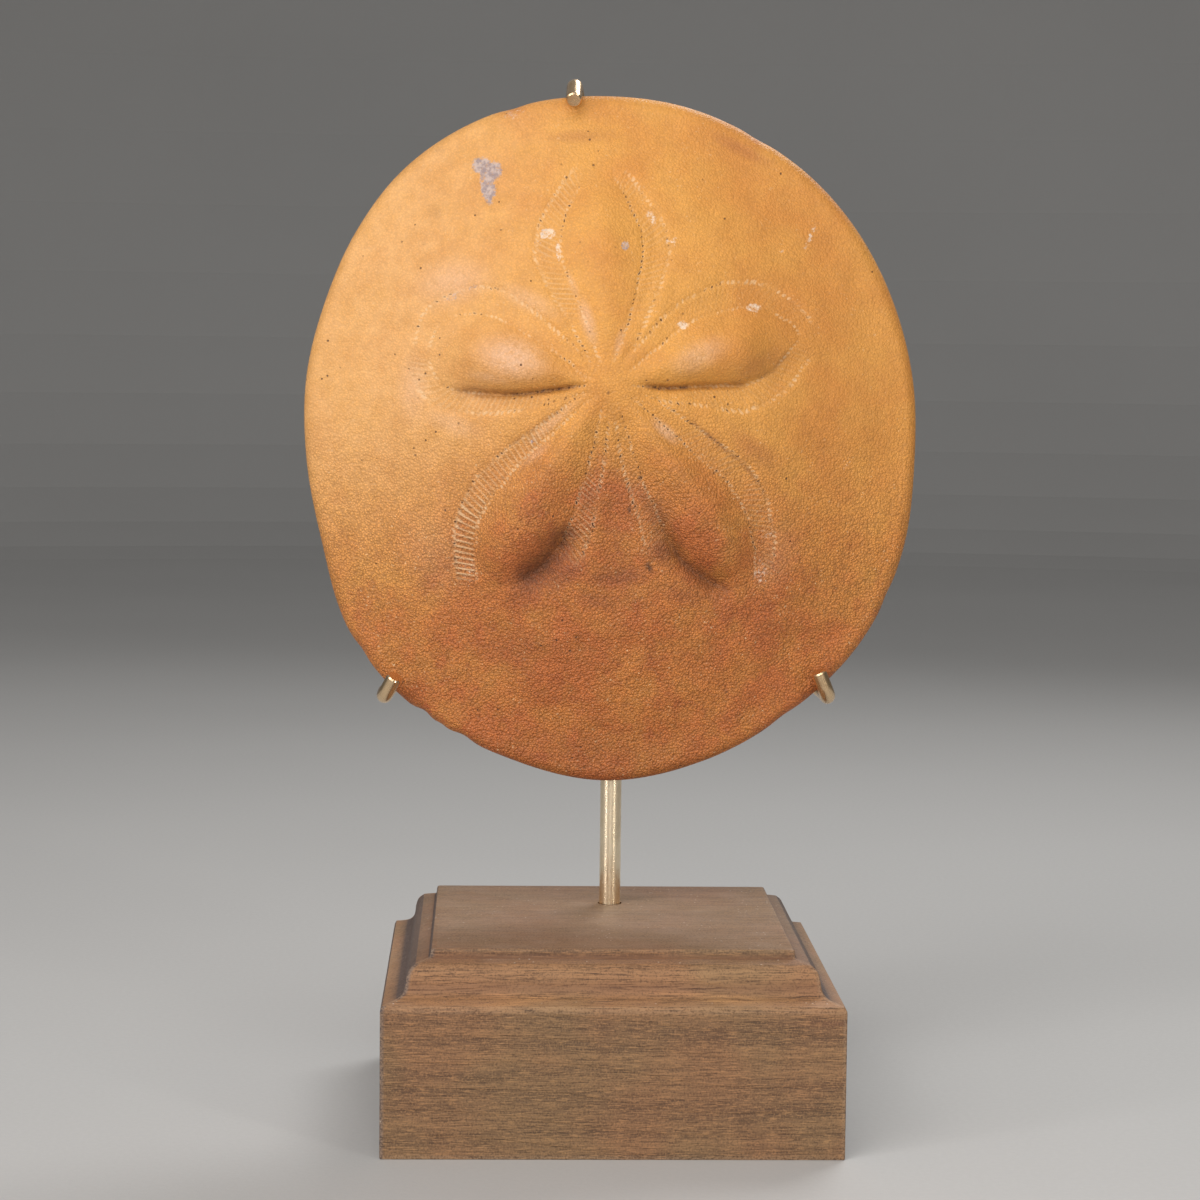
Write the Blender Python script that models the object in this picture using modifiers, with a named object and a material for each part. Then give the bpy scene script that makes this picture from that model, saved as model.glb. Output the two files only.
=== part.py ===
"""A fossil sea biscuit, upright on a brass three-prong stand with a moulded wooden block.

Metres, +Z up. The origin is the middle of the block's underside, and the fossil faces -Y.
Compass angles are clockwise from straight up, as the fossil is seen from the front.
"""

import math
from collections import namedtuple

import bmesh
import bpy
import numpy as np
from mathutils import Vector

MM = 0.001
GAP = 0.3 * MM  # between pieces that touch

# Wooden block: a four inch square with a routed moulding round its top
BASE_SIDE = 101.6 * MM
BASE_HEIGHT = 44.45 * MM
BASE_ARRIS = 0.5 * MM
# Each step of the moulding, from the lip up to the table: (inset from the side, depth below the table)
MOULDING_STEPS_MM = (
    (0.0, 11.8),
    (0.5, 10.7),
    (2.4, 10.2),
    (3.9, 9.6),
    (4.9, 8.6),
    (5.3, 7.3),
    (5.5, 5.8),
    (6.1, 4.0),
    (7.5, 2.7),
    (10.2, 2.1),
    (10.6, 1.9),
    (10.7, 0.5),
    (11.1, 0.0),
)

# Brass stem, set in a blind hole behind the middle of the block
STEM_RADIUS = 2.5 * MM
STEM_X = 1.3 * MM
STEM_Y = 17.0 * MM
STEM_TOP = 172.0 * MM
STEM_END_BEVEL = 0.5 * MM
STEM_SIDES = 24
HOLE_DEPTH = 20.0 * MM
HOLE_RADIUS = STEM_RADIUS + 0.35 * MM

# Brass prong arms, bent from round rod
ARM_RADIUS = 1.8 * MM
ARM_BEND = 4.0 * MM
LOWER_ARM_SPREAD = 1.95 * MM  # each lower arm's offset from the stem where it is brazed on
LOWER_ARM_TOP = 151.0 * MM
LOWER_ARM_ELBOW = 134.0 * MM
ELBOW_BEND = 14.0 * MM
LEFT_ARM_COMPASS = 214.8
RIGHT_ARM_COMPASS = 144.9
LOWER_HOOK_REACH = 7.1 * MM  # from the rim's plane to the hook's upright in front
LEFT_HOOK_TIP = Vector((2.6, -3.2, 5.0)) * MM
RIGHT_HOOK_TIP = Vector((-2.7, -1.6, 6.2)) * MM
TOP_ARM_FOOT = 154.0 * MM
TOP_ARM_ELBOW = 176.0 * MM
TOP_ARM_COMPASS = 352.9
TOP_HOOK_REACH = Vector((-0.4, -2.4, 0.0)) * MM  # from the rim's plane to where the hook dips
TOP_HOOK_TIP = Vector((-0.3, -5.2, -3.5)) * MM
BEND_STEP_DEGREES = 18.0

# Fossil: its apex, where the five petals meet, and the plane of its rim
APEX_X = -0.6 * MM
APEX_Z = 168.7 * MM
RIM_Y = 7.1 * MM
# Distance in millimetres from the apex to the rim, every 15 degrees of compass from straight up
RIM_RADII_MM = (
    65.1, 65.1, 65.2, 66.1, 67.1, 68.5, 70.8, 73.9, 79.5, 84.8, 88.2, 91.6,
    93.5, 91.1, 88.6, 84.0, 76.4, 72.3, 69.9, 67.9, 67.5, 67.6, 66.9, 65.9,
)  # fmt: skip
RIM_HALF_THICKNESS = 3.2
RIM_ROUNDING = 2.6
DOME_HEIGHT = 19.5
DOME_POWER = 1.45
APICAL_BOSS_HEIGHT = 1.6
APICAL_BOSS_WIDTH = 4.5
BACK_HOLLOW = 2.6
MOUTH_RADIUS = 5.5
MOUTH_LOBES = 0.16  # of its radius
MOUTH_DEPTH = 6.0
MOUTH_STEEPNESS = 0.7
FOOD_GROOVE_DEPTH = 0.9
FOOD_GROOVE_WIDTH = 1.6
FOOD_GROOVE_FADE = (0.67, 0.82)  # where it runs out, in shares of the way to the rim

# Petals, in millimetres and shares of the petal's length. The bow is the middle line's bend to its
# clockwise side, and the crease is on the clockwise side (1), the other side (-1) or neither (0).
Petal = namedtuple("Petal", "compass length half_width widest closes bow bulge crease")
PETALS = (
    Petal(356.3, 47.3, 9.7, 0.62, 1.06, 0.0, 2.6, 0),
    Petal(75.3, 44.9, 9.2, 0.64, 1.00, 0.0, 4.4, 1),
    Petal(148.4, 54.9, 9.4, 0.66, 1.10, -2.9, 4.8, 0),
    Petal(206.4, 53.2, 9.4, 0.66, 1.10, 3.6, 4.8, 0),
    Petal(280.2, 43.8, 9.4, 0.64, 1.00, 0.0, 4.6, -1),
)
PETAL_START = 0.04
PETAL_START_WIDTH = 0.12  # of its half-width, so that it is blunt at the apex
OPENING_POWER = 1.1
CLOSING_POWER = 0.55
BULGE_POWER = 2.0
PETAL_EDGE_POINTS = 28
PORE_ZONE_WIDTH = 6.0
PORE_ZONE_START_WIDTH = 0.25  # of its width, at the apex
PORE_ZONE_OPENS = 0.5
PORE_ZONE_SPAN = (0.0, 0.15, 1.05, 1.25)
PORE_ZONE_DEPTH = 0.8
PORE_TROUGH_WIDTH = 0.45  # of the zone's width
CREASE_DEPTH = 1.0
CREASE_WIDTH = 2.8
CREASE_SPAN = (0.1, 0.25, 0.8, 1.0)
# The two deep folds under the rear petals: (start, end) across and up from the apex
REAR_FOLDS_MM = (((-22.5, -45.5), (-10.5, -36.0)), ((10.5, -30.0), (24.0, -46.5)))
REAR_FOLD_DEPTH = 3.4
REAR_FOLD_WIDTH = 3.8
REAR_VALLEY_COMPASS = 177.4
REAR_VALLEY_DEPTH = 2.4
REAR_VALLEY_WIDTH = 5.0
REAR_VALLEY_SPAN_MM = (8.0, 24.0, 44.0, 58.0)

# Fossil mesh: segments round the rim, and rings across the front, the edge and the back
FOSSIL_SEGMENTS = 108
FRONT_RINGS = 26
EDGE_RINGS = 4
BACK_RING_SHARES = (0.88, 0.7, 0.5, 0.3, 0.16, 0.1, 0.06, 0.03, 0.0)
PETAL_FIELD_RINGS = 21  # of the front rings, the ones that cross the petals
PETAL_FIELD_SHARE = 0.66  # of the way to the rim


def clear_scene():
    for old in list(bpy.data.objects):
        bpy.data.objects.remove(old, do_unlink=True)


def new_collection(name):
    made = bpy.data.collections.new(name)
    bpy.context.scene.collection.children.link(made)
    return made


def new_material(name, colour, roughness, metallic=0.0):
    material = bpy.data.materials.new(name)
    material.use_nodes = True
    shader = material.node_tree.nodes["Principled BSDF"]
    shader.inputs["Base Color"].default_value = (*colour, 1.0)
    shader.inputs["Roughness"].default_value = roughness
    shader.inputs["Metallic"].default_value = metallic
    return material


def object_from_bmesh(bm, name, collection, material=None):
    mesh = bpy.data.meshes.new(name)
    bm.to_mesh(mesh)
    bm.free()
    made = bpy.data.objects.new(name, mesh)
    collection.objects.link(made)
    if material:
        mesh.materials.append(material)
    return made


def compass_vector(degrees):
    """The unit vector across and up for a compass angle."""
    angle = math.radians(degrees)
    return math.sin(angle), math.cos(angle)


def rim_radius(compass):
    """The distance in millimetres from the apex to the rim, on a smooth closed curve."""
    radii = np.array(RIM_RADII_MM)
    count = len(radii)
    place = np.mod(compass, 360.0) / (360.0 / count)
    first = np.floor(place).astype(int) % count
    t = place - np.floor(place)
    p0, p1, p2, p3 = (radii[(first + i) % count] for i in (-1, 0, 1, 2))
    bend = 2 * p0 - 5 * p1 + 4 * p2 - p3 + (3 * (p1 - p2) + p3 - p0) * t
    return p1 + 0.5 * t * (p2 - p0 + t * bend)


def petal_coordinates(petal, across, up):
    """(share of the petal's length, distance to the clockwise side of its middle line)."""
    sine, cosine = compass_vector(petal.compass)
    along = (across * sine + up * cosine) / petal.length
    bow = petal.bow * 4 * along * (1 - along)
    return along, across * cosine - up * sine - np.where((along > 0) & (along < 1), bow, 0)


def petal_half_width(petal, along):
    """The half-width of the swollen part of a petal, blunt at the apex and zero where it closes."""
    rise = np.clip(along / petal.widest, 0, 1)
    fall = np.clip((along - petal.widest) / (petal.closes - petal.widest), 0, 1)
    opening = np.sin(rise * np.pi / 2) ** OPENING_POWER
    opening = PETAL_START_WIDTH + (1 - PETAL_START_WIDTH) * opening
    return petal.half_width * opening * np.cos(fall * np.pi / 2) ** CLOSING_POWER


def petal_edge(petal, side):
    """One edge of the swollen part, from the apex to its end, across and up in millimetres."""
    along = np.linspace(PETAL_START, petal.closes, PETAL_EDGE_POINTS)
    sine, cosine = compass_vector(petal.compass)
    inside = (along > 0) & (along < 1)
    lateral = side * petal_half_width(petal, along)
    lateral = lateral + np.where(inside, petal.bow * 4 * along * (1 - along), 0)
    reach = along * petal.length
    return np.stack([reach * sine + lateral * cosine, reach * cosine - lateral * sine], axis=1)


def distance_to_line(across, up, line):
    """The distance from each point to a line through the given points."""
    points = np.stack([across, up], axis=-1)[:, None]
    start, step = line[:-1], np.diff(line, axis=0)
    share = ((points - start) * step).sum(-1) / np.maximum((step**2).sum(-1), 1e-9)
    nearest = start + np.clip(share, 0, 1)[..., None] * step
    return np.sqrt(((points - nearest) ** 2).sum(-1)).min(1)


def bell(distance, width):
    return np.exp(-((distance / width) ** 2))


def ramp(value, start, end):
    """0 up to the start, 1 beyond the end."""
    return np.clip((value - start) / (end - start), 0, 1)


def stretch(value, span):
    """1 between the middle two values of the span, fading to 0 at its first and last."""
    return ramp(value, span[0], span[1]) * (1 - ramp(value, span[2], span[3]))


def petal_relief(petal, across, up):
    """The swelling of a petal, the troughs of its pore zones and the crease along one edge."""
    along, lateral = petal_coordinates(petal, across, up)
    edges = [petal_edge(petal, side) for side in (-1, 1)]
    to_edge = np.minimum(*(distance_to_line(across, up, edge) for edge in edges))
    inside = (along > 0) & (np.abs(lateral) < petal_half_width(petal, along))
    depth_in = np.where(inside, np.clip(to_edge / petal.half_width, 0, 1), 0)
    relief = petal.bulge * (1 - (1 - depth_in) ** BULGE_POWER)
    opened = PORE_ZONE_START_WIDTH + (1 - PORE_ZONE_START_WIDTH) * ramp(along, 0, PORE_ZONE_OPENS)
    zone = PORE_ZONE_WIDTH * opened
    trough = stretch(along, PORE_ZONE_SPAN) * bell(to_edge - zone / 2, PORE_TROUGH_WIDTH * zone)
    relief -= np.where(inside, 0, PORE_ZONE_DEPTH * trough)
    if petal.crease:
        edge = edges[1] if petal.crease > 0 else edges[0]
        crease = stretch(along, CREASE_SPAN) * bell(distance_to_line(across, up, edge), CREASE_WIDTH)
        relief -= CREASE_DEPTH * crease
    return relief


def front_height(across, up, share):
    """The height in millimetres of the upper side above the rim's plane."""
    height = DOME_HEIGHT * np.clip(1 - share**2, 0, 1) ** DOME_POWER
    for petal in PETALS:
        height = height + petal_relief(petal, across, up)
    for start, end in REAR_FOLDS_MM:
        fold = distance_to_line(across, up, np.array([start, end]))
        height = height - REAR_FOLD_DEPTH * bell(fold, REAR_FOLD_WIDTH)
    height = height + APICAL_BOSS_HEIGHT * bell(np.hypot(across, up), APICAL_BOSS_WIDTH)
    sine, cosine = compass_vector(REAR_VALLEY_COMPASS)
    along = across * sine + up * cosine
    valley = stretch(along, REAR_VALLEY_SPAN_MM) * bell(across * cosine - up * sine, REAR_VALLEY_WIDTH)
    return height - REAR_VALLEY_DEPTH * valley


def back_height(across, up, share):
    """The hollow in millimetres of the underside, with its mouth and five food grooves."""
    reach = np.hypot(across, up)
    compass = np.degrees(np.arctan2(across, up))
    lobes = 1 + MOUTH_LOBES * np.cos(np.radians(len(PETALS) * (compass - PETALS[0].compass)))
    mouth = np.clip(1 - (reach / (MOUTH_RADIUS * lobes)) ** 2, 0, 1) ** MOUTH_STEEPNESS
    hollow = BACK_HOLLOW * (1 - share**2) + MOUTH_DEPTH * mouth
    for petal in PETALS:
        sine, cosine = compass_vector(petal.compass)
        ahead = across * sine + up * cosine > 0
        groove = bell(across * cosine - up * sine, FOOD_GROOVE_WIDTH)
        groove = groove * (1 - ramp(share, *FOOD_GROOVE_FADE))
        hollow = hollow + np.where(ahead, FOOD_GROOVE_DEPTH * groove, 0)
    return hollow


def ring_places(rings):
    """For each ring of the globe: (share of the way to where the edge begins, turn of the edge)."""
    field = np.linspace(0, PETAL_FIELD_SHARE, PETAL_FIELD_RINGS + 1)
    margin = np.linspace(PETAL_FIELD_SHARE, 1, FRONT_RINGS - PETAL_FIELD_RINGS + 1)[1:]
    turns = np.linspace(0, math.pi, EDGE_RINGS + 1)[1:]
    back = np.array(BACK_RING_SHARES)
    shares = np.concatenate([field, margin, np.ones(EDGE_RINGS), back])
    edge_turns = np.concatenate([np.zeros(FRONT_RINGS + 1), turns, np.full(len(back), math.pi)])
    return shares[rings], edge_turns[rings]


def build_fossil(collection, material):
    """A globe whose latitudes are laid out over the front, round the edge and across the back."""
    ring_count = FRONT_RINGS + EDGE_RINGS + len(BACK_RING_SHARES)
    bm = bmesh.new()
    bmesh.ops.create_uvsphere(bm, u_segments=FOSSIL_SEGMENTS, v_segments=ring_count, radius=1.0)
    globe = np.array([vert.co for vert in bm.verts])
    rings = np.rint(np.arccos(np.clip(globe[:, 2], -1, 1)) / math.pi * ring_count).astype(int)
    share_in, turn = ring_places(rings)
    compass = 90.0 - np.degrees(np.arctan2(globe[:, 1], globe[:, 0]))
    radius = rim_radius(compass)
    reach = share_in * (radius - RIM_ROUNDING) + RIM_ROUNDING * np.sin(turn) * (turn > 0)
    across = reach * np.sin(np.radians(compass))
    up = reach * np.cos(np.radians(compass))
    share = reach / radius
    edge = RIM_HALF_THICKNESS * np.cos(turn)
    facing = np.where(
        turn < math.pi / 2,
        edge + front_height(across, up, share),
        edge + back_height(across, up, share),
    )
    for vert, x, y, z in zip(bm.verts, across, facing, up, strict=True):
        vert.co = (APEX_X + x * MM, RIM_Y - y * MM, APEX_Z + z * MM)
    fossil = object_from_bmesh(bm, "fossil_urchin", collection, material)
    fossil.data.shade_smooth()
    return fossil


def build_base(collection, cutters, material):
    """The block: a square face drawn up in steps along the moulding, with a blind hole for the stem."""
    bm = bmesh.new()
    bmesh.ops.create_grid(bm, x_segments=1, y_segments=1, size=BASE_SIDE / 2)
    underside = face = bm.faces[:][0]
    side, height = BASE_SIDE, 0.0
    for inset_mm, depth_mm in MOULDING_STEPS_MM:
        new_side = BASE_SIDE - 2 * inset_mm * MM
        new_height = BASE_HEIGHT - depth_mm * MM
        grown = bmesh.ops.extrude_face_region(bm, geom=[face])["geom"]
        if face.is_valid and face != underside:
            bm.faces.remove(face)
        verts = [item for item in grown if isinstance(item, bmesh.types.BMVert)]
        face = next(item for item in grown if isinstance(item, bmesh.types.BMFace))
        bmesh.ops.translate(bm, verts=verts, vec=(0, 0, new_height - height))
        bmesh.ops.scale(bm, verts=verts, vec=(new_side / side, new_side / side, 1))
        side, height = new_side, new_height
    bmesh.ops.recalc_face_normals(bm, faces=bm.faces[:])
    base = object_from_bmesh(bm, "wood_base", collection, material)

    arris = base.modifiers.new("arris", "BEVEL")
    arris.width = BASE_ARRIS
    arris.segments = 2
    arris.limit_method = "ANGLE"
    arris.angle_limit = math.radians(60)

    bm = bmesh.new()
    top = BASE_HEIGHT + 2 * MM
    bottom = BASE_HEIGHT - HOLE_DEPTH
    bmesh.ops.create_cone(
        bm,
        cap_ends=True,
        segments=STEM_SIDES,
        radius1=HOLE_RADIUS,
        radius2=HOLE_RADIUS,
        depth=top - bottom,
    )
    cutter = object_from_bmesh(bm, "stem_hole_cutter", cutters)
    cutter.location = (STEM_X, STEM_Y, (top + bottom) / 2)
    cutter.display_type = "WIRE"
    cutter.hide_render = True
    hole = base.modifiers.new("stem hole", "BOOLEAN")
    hole.operation = "DIFFERENCE"
    hole.object = cutter
    return base


def build_stem(collection, material):
    bottom = BASE_HEIGHT - HOLE_DEPTH + GAP
    bm = bmesh.new()
    bmesh.ops.create_cone(
        bm,
        cap_ends=True,
        segments=STEM_SIDES,
        radius1=STEM_RADIUS,
        radius2=STEM_RADIUS,
        depth=STEM_TOP - bottom,
    )
    stem = object_from_bmesh(bm, "brass_stem", collection, material)
    stem.location = (STEM_X, STEM_Y, (STEM_TOP + bottom) / 2)
    ends = stem.modifiers.new("filed ends", "BEVEL")
    ends.width = STEM_END_BEVEL
    ends.segments = 1
    ends.limit_method = "ANGLE"
    ends.angle_limit = math.radians(60)
    stem.data.shade_smooth()
    stem.data.set_sharp_from_angle(angle=math.radians(40))
    return stem


def bent_rod_points(corners, bends):
    """Points along straight runs joined by arcs, one bend radius for each inner corner."""
    points = [corners[0]]
    for before, corner, after, bend in zip(corners, corners[1:], corners[2:], bends, strict=False):
        into = (corner - before).normalized()
        out = (after - corner).normalized()
        turn = into.angle(out)
        if turn < math.radians(1):
            points.append(corner)
            continue
        tangent = bend * math.tan(turn / 2)
        inward = (out - into).normalized()
        centre = corner + inward * math.hypot(bend, tangent)
        start = corner - into * tangent - centre
        axis = into.cross(out).normalized()
        steps = max(2, math.ceil(math.degrees(turn) / BEND_STEP_DEGREES))
        for step in range(steps + 1):
            angle = turn * step / steps
            swung = start * math.cos(angle) + axis.cross(start) * math.sin(angle)
            points.append(centre + swung)
    points.append(corners[-1])
    return points


def build_arm(name, corners, bends, collection, material):
    """A round rod along the bent line, with flat sawn ends."""
    points = bent_rod_points(corners, bends)
    curve = bpy.data.curves.new(name, "CURVE")
    curve.dimensions = "3D"
    curve.bevel_depth = ARM_RADIUS
    curve.bevel_resolution = 3
    curve.use_fill_caps = True
    spline = curve.splines.new("POLY")
    spline.points.add(len(points) - 1)
    for item, point in zip(spline.points, points, strict=True):
        item.co = (*point, 1.0)
    curve.materials.append(material)
    arm = bpy.data.objects.new(name, curve)
    collection.objects.link(arm)
    return arm


def outside_rim(compass, clearance):
    """The place across and up where a rod passes just outside the fossil's rim."""
    step = 0.5
    spots = []
    for angle in (compass - step, compass, compass + step):
        sine, cosine = compass_vector(angle)
        radius = float(rim_radius(np.array(angle))) * MM
        spots.append(Vector((APEX_X + radius * sine, 0, APEX_Z + radius * cosine)))
    along = (spots[2] - spots[0]).normalized()
    outward = Vector((-along.z, 0, along.x))
    if outward.dot(spots[1] - Vector((APEX_X, 0, APEX_Z))) < 0:
        outward = -outward
    return spots[1] + outward * clearance


def lower_arm(name, side, compass, hook_tip, collection, material):
    """From the stem's front, down and out behind the fossil, under its rim, and up in front."""
    radii = STEM_RADIUS + ARM_RADIUS + GAP
    behind = STEM_Y - math.sqrt(radii**2 - LOWER_ARM_SPREAD**2)
    start_x = STEM_X + side * LOWER_ARM_SPREAD
    under = outside_rim(compass, ARM_RADIUS + GAP)
    front = RIM_Y - LOWER_HOOK_REACH
    corners = [
        Vector((start_x, behind, LOWER_ARM_TOP)),
        Vector((start_x, behind, LOWER_ARM_ELBOW)),
        Vector((under.x, behind, under.z)),
        Vector((under.x, front, under.z)),
    ]
    corners.append(corners[-1] + hook_tip)
    return build_arm(name, corners, [ELBOW_BEND, ARM_BEND, ARM_BEND], collection, material)


def top_arm(name, collection, material):
    """From the stem's front, up behind the fossil, over its rim, and down in front."""
    behind = STEM_Y - STEM_RADIUS - ARM_RADIUS - GAP
    over = outside_rim(TOP_ARM_COMPASS, ARM_RADIUS + GAP)
    corners = [
        Vector((STEM_X, behind, TOP_ARM_FOOT)),
        Vector((STEM_X, behind, TOP_ARM_ELBOW)),
        Vector((over.x, behind, over.z)),
        Vector((over.x, RIM_Y, over.z)) + TOP_HOOK_REACH,
    ]
    corners.append(corners[-1] + TOP_HOOK_TIP)
    return build_arm(name, corners, [ELBOW_BEND, ARM_BEND, ARM_BEND], collection, material)


def main():
    clear_scene()
    parts = new_collection("fossil_sea_urchin")
    cutters = new_collection("cutters")
    stone = new_material("fossil_stone", (0.53, 0.27, 0.09), 0.6)
    wood = new_material("stained_wood", (0.13, 0.085, 0.055), 0.6)
    brass = new_material("satin_brass", (0.72, 0.52, 0.26), 0.3, metallic=1.0)
    build_base(parts, cutters, wood)
    build_stem(parts, brass)
    build_fossil(parts, stone)
    lower_arm("left_prong_arm", -1, LEFT_ARM_COMPASS, LEFT_HOOK_TIP, parts, brass)
    lower_arm("right_prong_arm", 1, RIGHT_ARM_COMPASS, RIGHT_HOOK_TIP, parts, brass)
    top_arm("top_prong_arm", parts, brass)


main()
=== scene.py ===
"""The looks of a fossil sea biscuit on its brass and wood stand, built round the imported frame."""

import math
from collections import namedtuple

import bmesh
import bpy
import numpy as np
from mathutils import Matrix, Vector, noise


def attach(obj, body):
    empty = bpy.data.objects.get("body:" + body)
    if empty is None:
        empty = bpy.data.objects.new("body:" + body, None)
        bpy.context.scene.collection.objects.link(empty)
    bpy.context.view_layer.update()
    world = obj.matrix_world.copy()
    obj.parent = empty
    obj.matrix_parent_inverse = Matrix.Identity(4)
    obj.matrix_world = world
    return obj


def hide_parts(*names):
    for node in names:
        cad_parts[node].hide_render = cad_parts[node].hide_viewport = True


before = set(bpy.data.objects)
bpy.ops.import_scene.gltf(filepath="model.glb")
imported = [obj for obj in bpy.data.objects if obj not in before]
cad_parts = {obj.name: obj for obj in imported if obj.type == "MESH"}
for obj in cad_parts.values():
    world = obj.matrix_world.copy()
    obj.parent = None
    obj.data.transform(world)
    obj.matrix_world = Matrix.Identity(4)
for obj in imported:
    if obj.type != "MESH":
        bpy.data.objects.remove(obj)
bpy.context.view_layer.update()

MM = 0.001
GAP = 0.3 * MM

# The camera of the photograph, and the lights and floor round it
CAMERA_PLACE = (-0.0272, -0.7253, 0.1786)
CAMERA_YAW = 1.962
CAMERA_PITCH = 4.761
CAMERA_ROLL = 0.615
CAMERA_LENS = 94.70
CAMERA_SENSOR = 36.0
# Each light: (name, azimuth, elevation, distance, size, power, colour)
LIGHTS = (
    ("key", -34, 36, 1.25, (0.6, 0.6), 2.35, (1.0, 0.97, 0.95)),
    ("left strip", -54, 2, 1.1, (0.16, 0.9), 2.1, (1.0, 0.96, 0.95)),
    ("right strip", 38, 2, 1.1, (0.08, 0.9), 1.6, (1.0, 0.98, 0.93)),
    ("front", -5, 12, 1.0, (0.4, 0.3), 1.2, (1.0, 0.97, 0.95)),
    ("top", -6, 64, 1.2, (0.6, 0.5), 1.3, (1.0, 0.97, 0.93)),
    ("rim", 150, 46, 1.1, (0.5, 0.4), 2.3, (1.0, 1.0, 1.0)),
)
LIGHT_AIM = (0, 0, 0.14)
LIGHT_SPREAD = 120.0
AMBIENT = (1.0, 0.99, 0.98, 1.0)
AMBIENT_STRENGTH = 0.25
# The floor's rings in metres, the bend up from the last one, and the top of the wall
FLOOR_REACHES = (0.5, 1.2, 1.8)
FLOOR_BEND = 0.6
FLOOR_BEND_STEPS = 12
FLOOR_TOP = (2.4, 0.8)
FLOOR_SIDES = 96

# Wooden block
BASE_SIDE = 101.6
BASE_HEIGHT = 44.45
ARRIS = 0.5
# Each step of the moulding, from the lip up to the table: (inset from the side, depth below the table)
MOULDING_STEPS = (
    (0.0, 11.8),
    (0.5, 10.7),
    (2.4, 10.2),
    (3.9, 9.6),
    (4.9, 8.6),
    (5.3, 7.3),
    (5.5, 5.8),
    (6.1, 4.0),
    (7.5, 2.7),
    (10.2, 2.1),
    (10.6, 1.9),
    (10.7, 0.5),
    (11.1, 0.0),
)
CURVED_STEPS = (1, 9)  # the moulding is a smooth curve between these two
CURVE_POINTS = 4
SIDE_SEGMENTS = 72
CORNER_RADIUS = 0.35
CORNER_SEGMENTS = 3
WORN_BAND = 0.7
KNOCKS = ((7.0, 0.05), (1.7, 0.04))  # (size, depth)
# Paler streaks on the front of the moulding: (across, height, half-length, half-width, turn, strength)
GOLDEN_STREAKS = (
    (-20.0, 35.1, 9.0, 0.55, -2.0, 0.9),
    (-24.0, 34.0, 8.0, 0.4, 3.0, 0.5),
    (18.0, 35.6, 13.0, 0.5, -2.5, 0.8),
    (26.0, 34.6, 7.0, 0.45, 0.0, 0.8),
    (-6.0, 39.7, 5.0, 0.4, 4.0, 0.5),
)
HOLE_DEPTH = 20.0
HOLE_RADIUS = 2.85
HOLE_SIDES = 48
CUTTER_OVERHANG = 2.0

# Brass stem and prong arms
STEM_RADIUS = 2.5 * MM
STEM_X = 1.3 * MM
STEM_Y = 17.0 * MM
STEM_TOP = 172.0 * MM
STEM_END_BEVEL = 0.5 * MM
ARM_RADIUS = 1.8 * MM
ARM_END_BEVEL = 0.3 * MM
ARM_BEND = 4.0 * MM
ARM_SPREAD = 1.95 * MM
ELBOW_BEND = 14.0 * MM
# Each arm, in millimetres: its side of the stem, where it starts and leaves the stem, the compass
# of the place where it passes the rim, how it goes on in front of the rim, the tip of its hook,
# and the run of filler metal along the stem
Arm = namedtuple("Arm", "name replaces side levels compass reach tip brazed")
ARMS = (
    Arm(
        "left_prong_rod", "left_prong_arm", -1, (151.0, 134.0), 214.8,
        (0.0, -7.1, 0.0), (2.6, -3.2, 5.0), (137.5, 150.0),
    ),
    Arm(
        "right_prong_rod", "right_prong_arm", 1, (151.0, 134.0), 144.9,
        (0.0, -7.1, 0.0), (-2.7, -1.6, 6.2), (137.5, 150.0),
    ),
    Arm(
        "top_prong_rod", "top_prong_arm", 0, (154.0, 176.0), 352.9,
        (-0.4, -2.4, 0.0), (-0.3, -5.2, -3.5), (155.0, 170.5),
    ),
)  # fmt: skip
BRAZING_LEVELS = 22
BRAZING_SIDES = 16
BRAZING_HALF_ACROSS = 1.55 * MM
BRAZING_HALF_DEEP = 0.62 * MM
BRAZING_LUMP_SIZE = 1.4 * MM
BRAZING_LUMPS = 0.12
BRAZING_BLUNT = 0.35
BRAZING_PINCH = 0.55
WOOD_CREASE = 38.0
BRASS_CREASE = 30.0
BEND_STEP_DEGREES = 6.0
ROD_SIDES = 40
ROD_STEP = 1.5 * MM

# Fossil, in millimetres from its apex, where the petals meet
APEX_X = -0.6 * MM
APEX_Z = 168.7 * MM
RIM_Y = 7.1 * MM
# Distance from the apex to the rim, every 15 degrees of compass, clockwise from straight up
RIM_RADII = (
    65.1, 65.1, 65.2, 66.1, 67.1, 68.5, 70.8, 73.9, 79.5, 84.8, 88.2, 91.6,
    93.5, 91.1, 88.6, 84.0, 76.4, 72.3, 69.9, 67.9, 67.5, 67.6, 66.9, 65.9,
)  # fmt: skip
RIM_HALF_THICKNESS = 3.2
RIM_ROUNDING = 2.6
DOME_HEIGHT = 19.5
DOME_POWER = 1.45
APICAL_BOSS_HEIGHT = 0.7
APICAL_BOSS_WIDTH = 7.0
BACK_HOLLOW = 2.6
MOUTH_RADIUS = 5.5
MOUTH_LOBES = 0.16
MOUTH_DEPTH = 6.0
MOUTH_STEEPNESS = 0.7
FOOD_GROOVE_DEPTH = 0.9
FOOD_GROOVE_WIDTH = 1.6
FOOD_GROOVE_FADE = (0.67, 0.82)
VENT_COMPASS = 177.4  # the small pit near the rear margin of the underside
VENT_INSET = 9.0
VENT_RADIUS = 2.4
VENT_FLOOR = 0.5
VENT_DEPTH = 1.8
# How much darker the mouth, the food grooves and the vent are drawn
MOUTH_DARKENING = 0.9
FOOD_GROOVE_DARKENING = 0.4
VENT_DARKENING = 0.8

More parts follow.
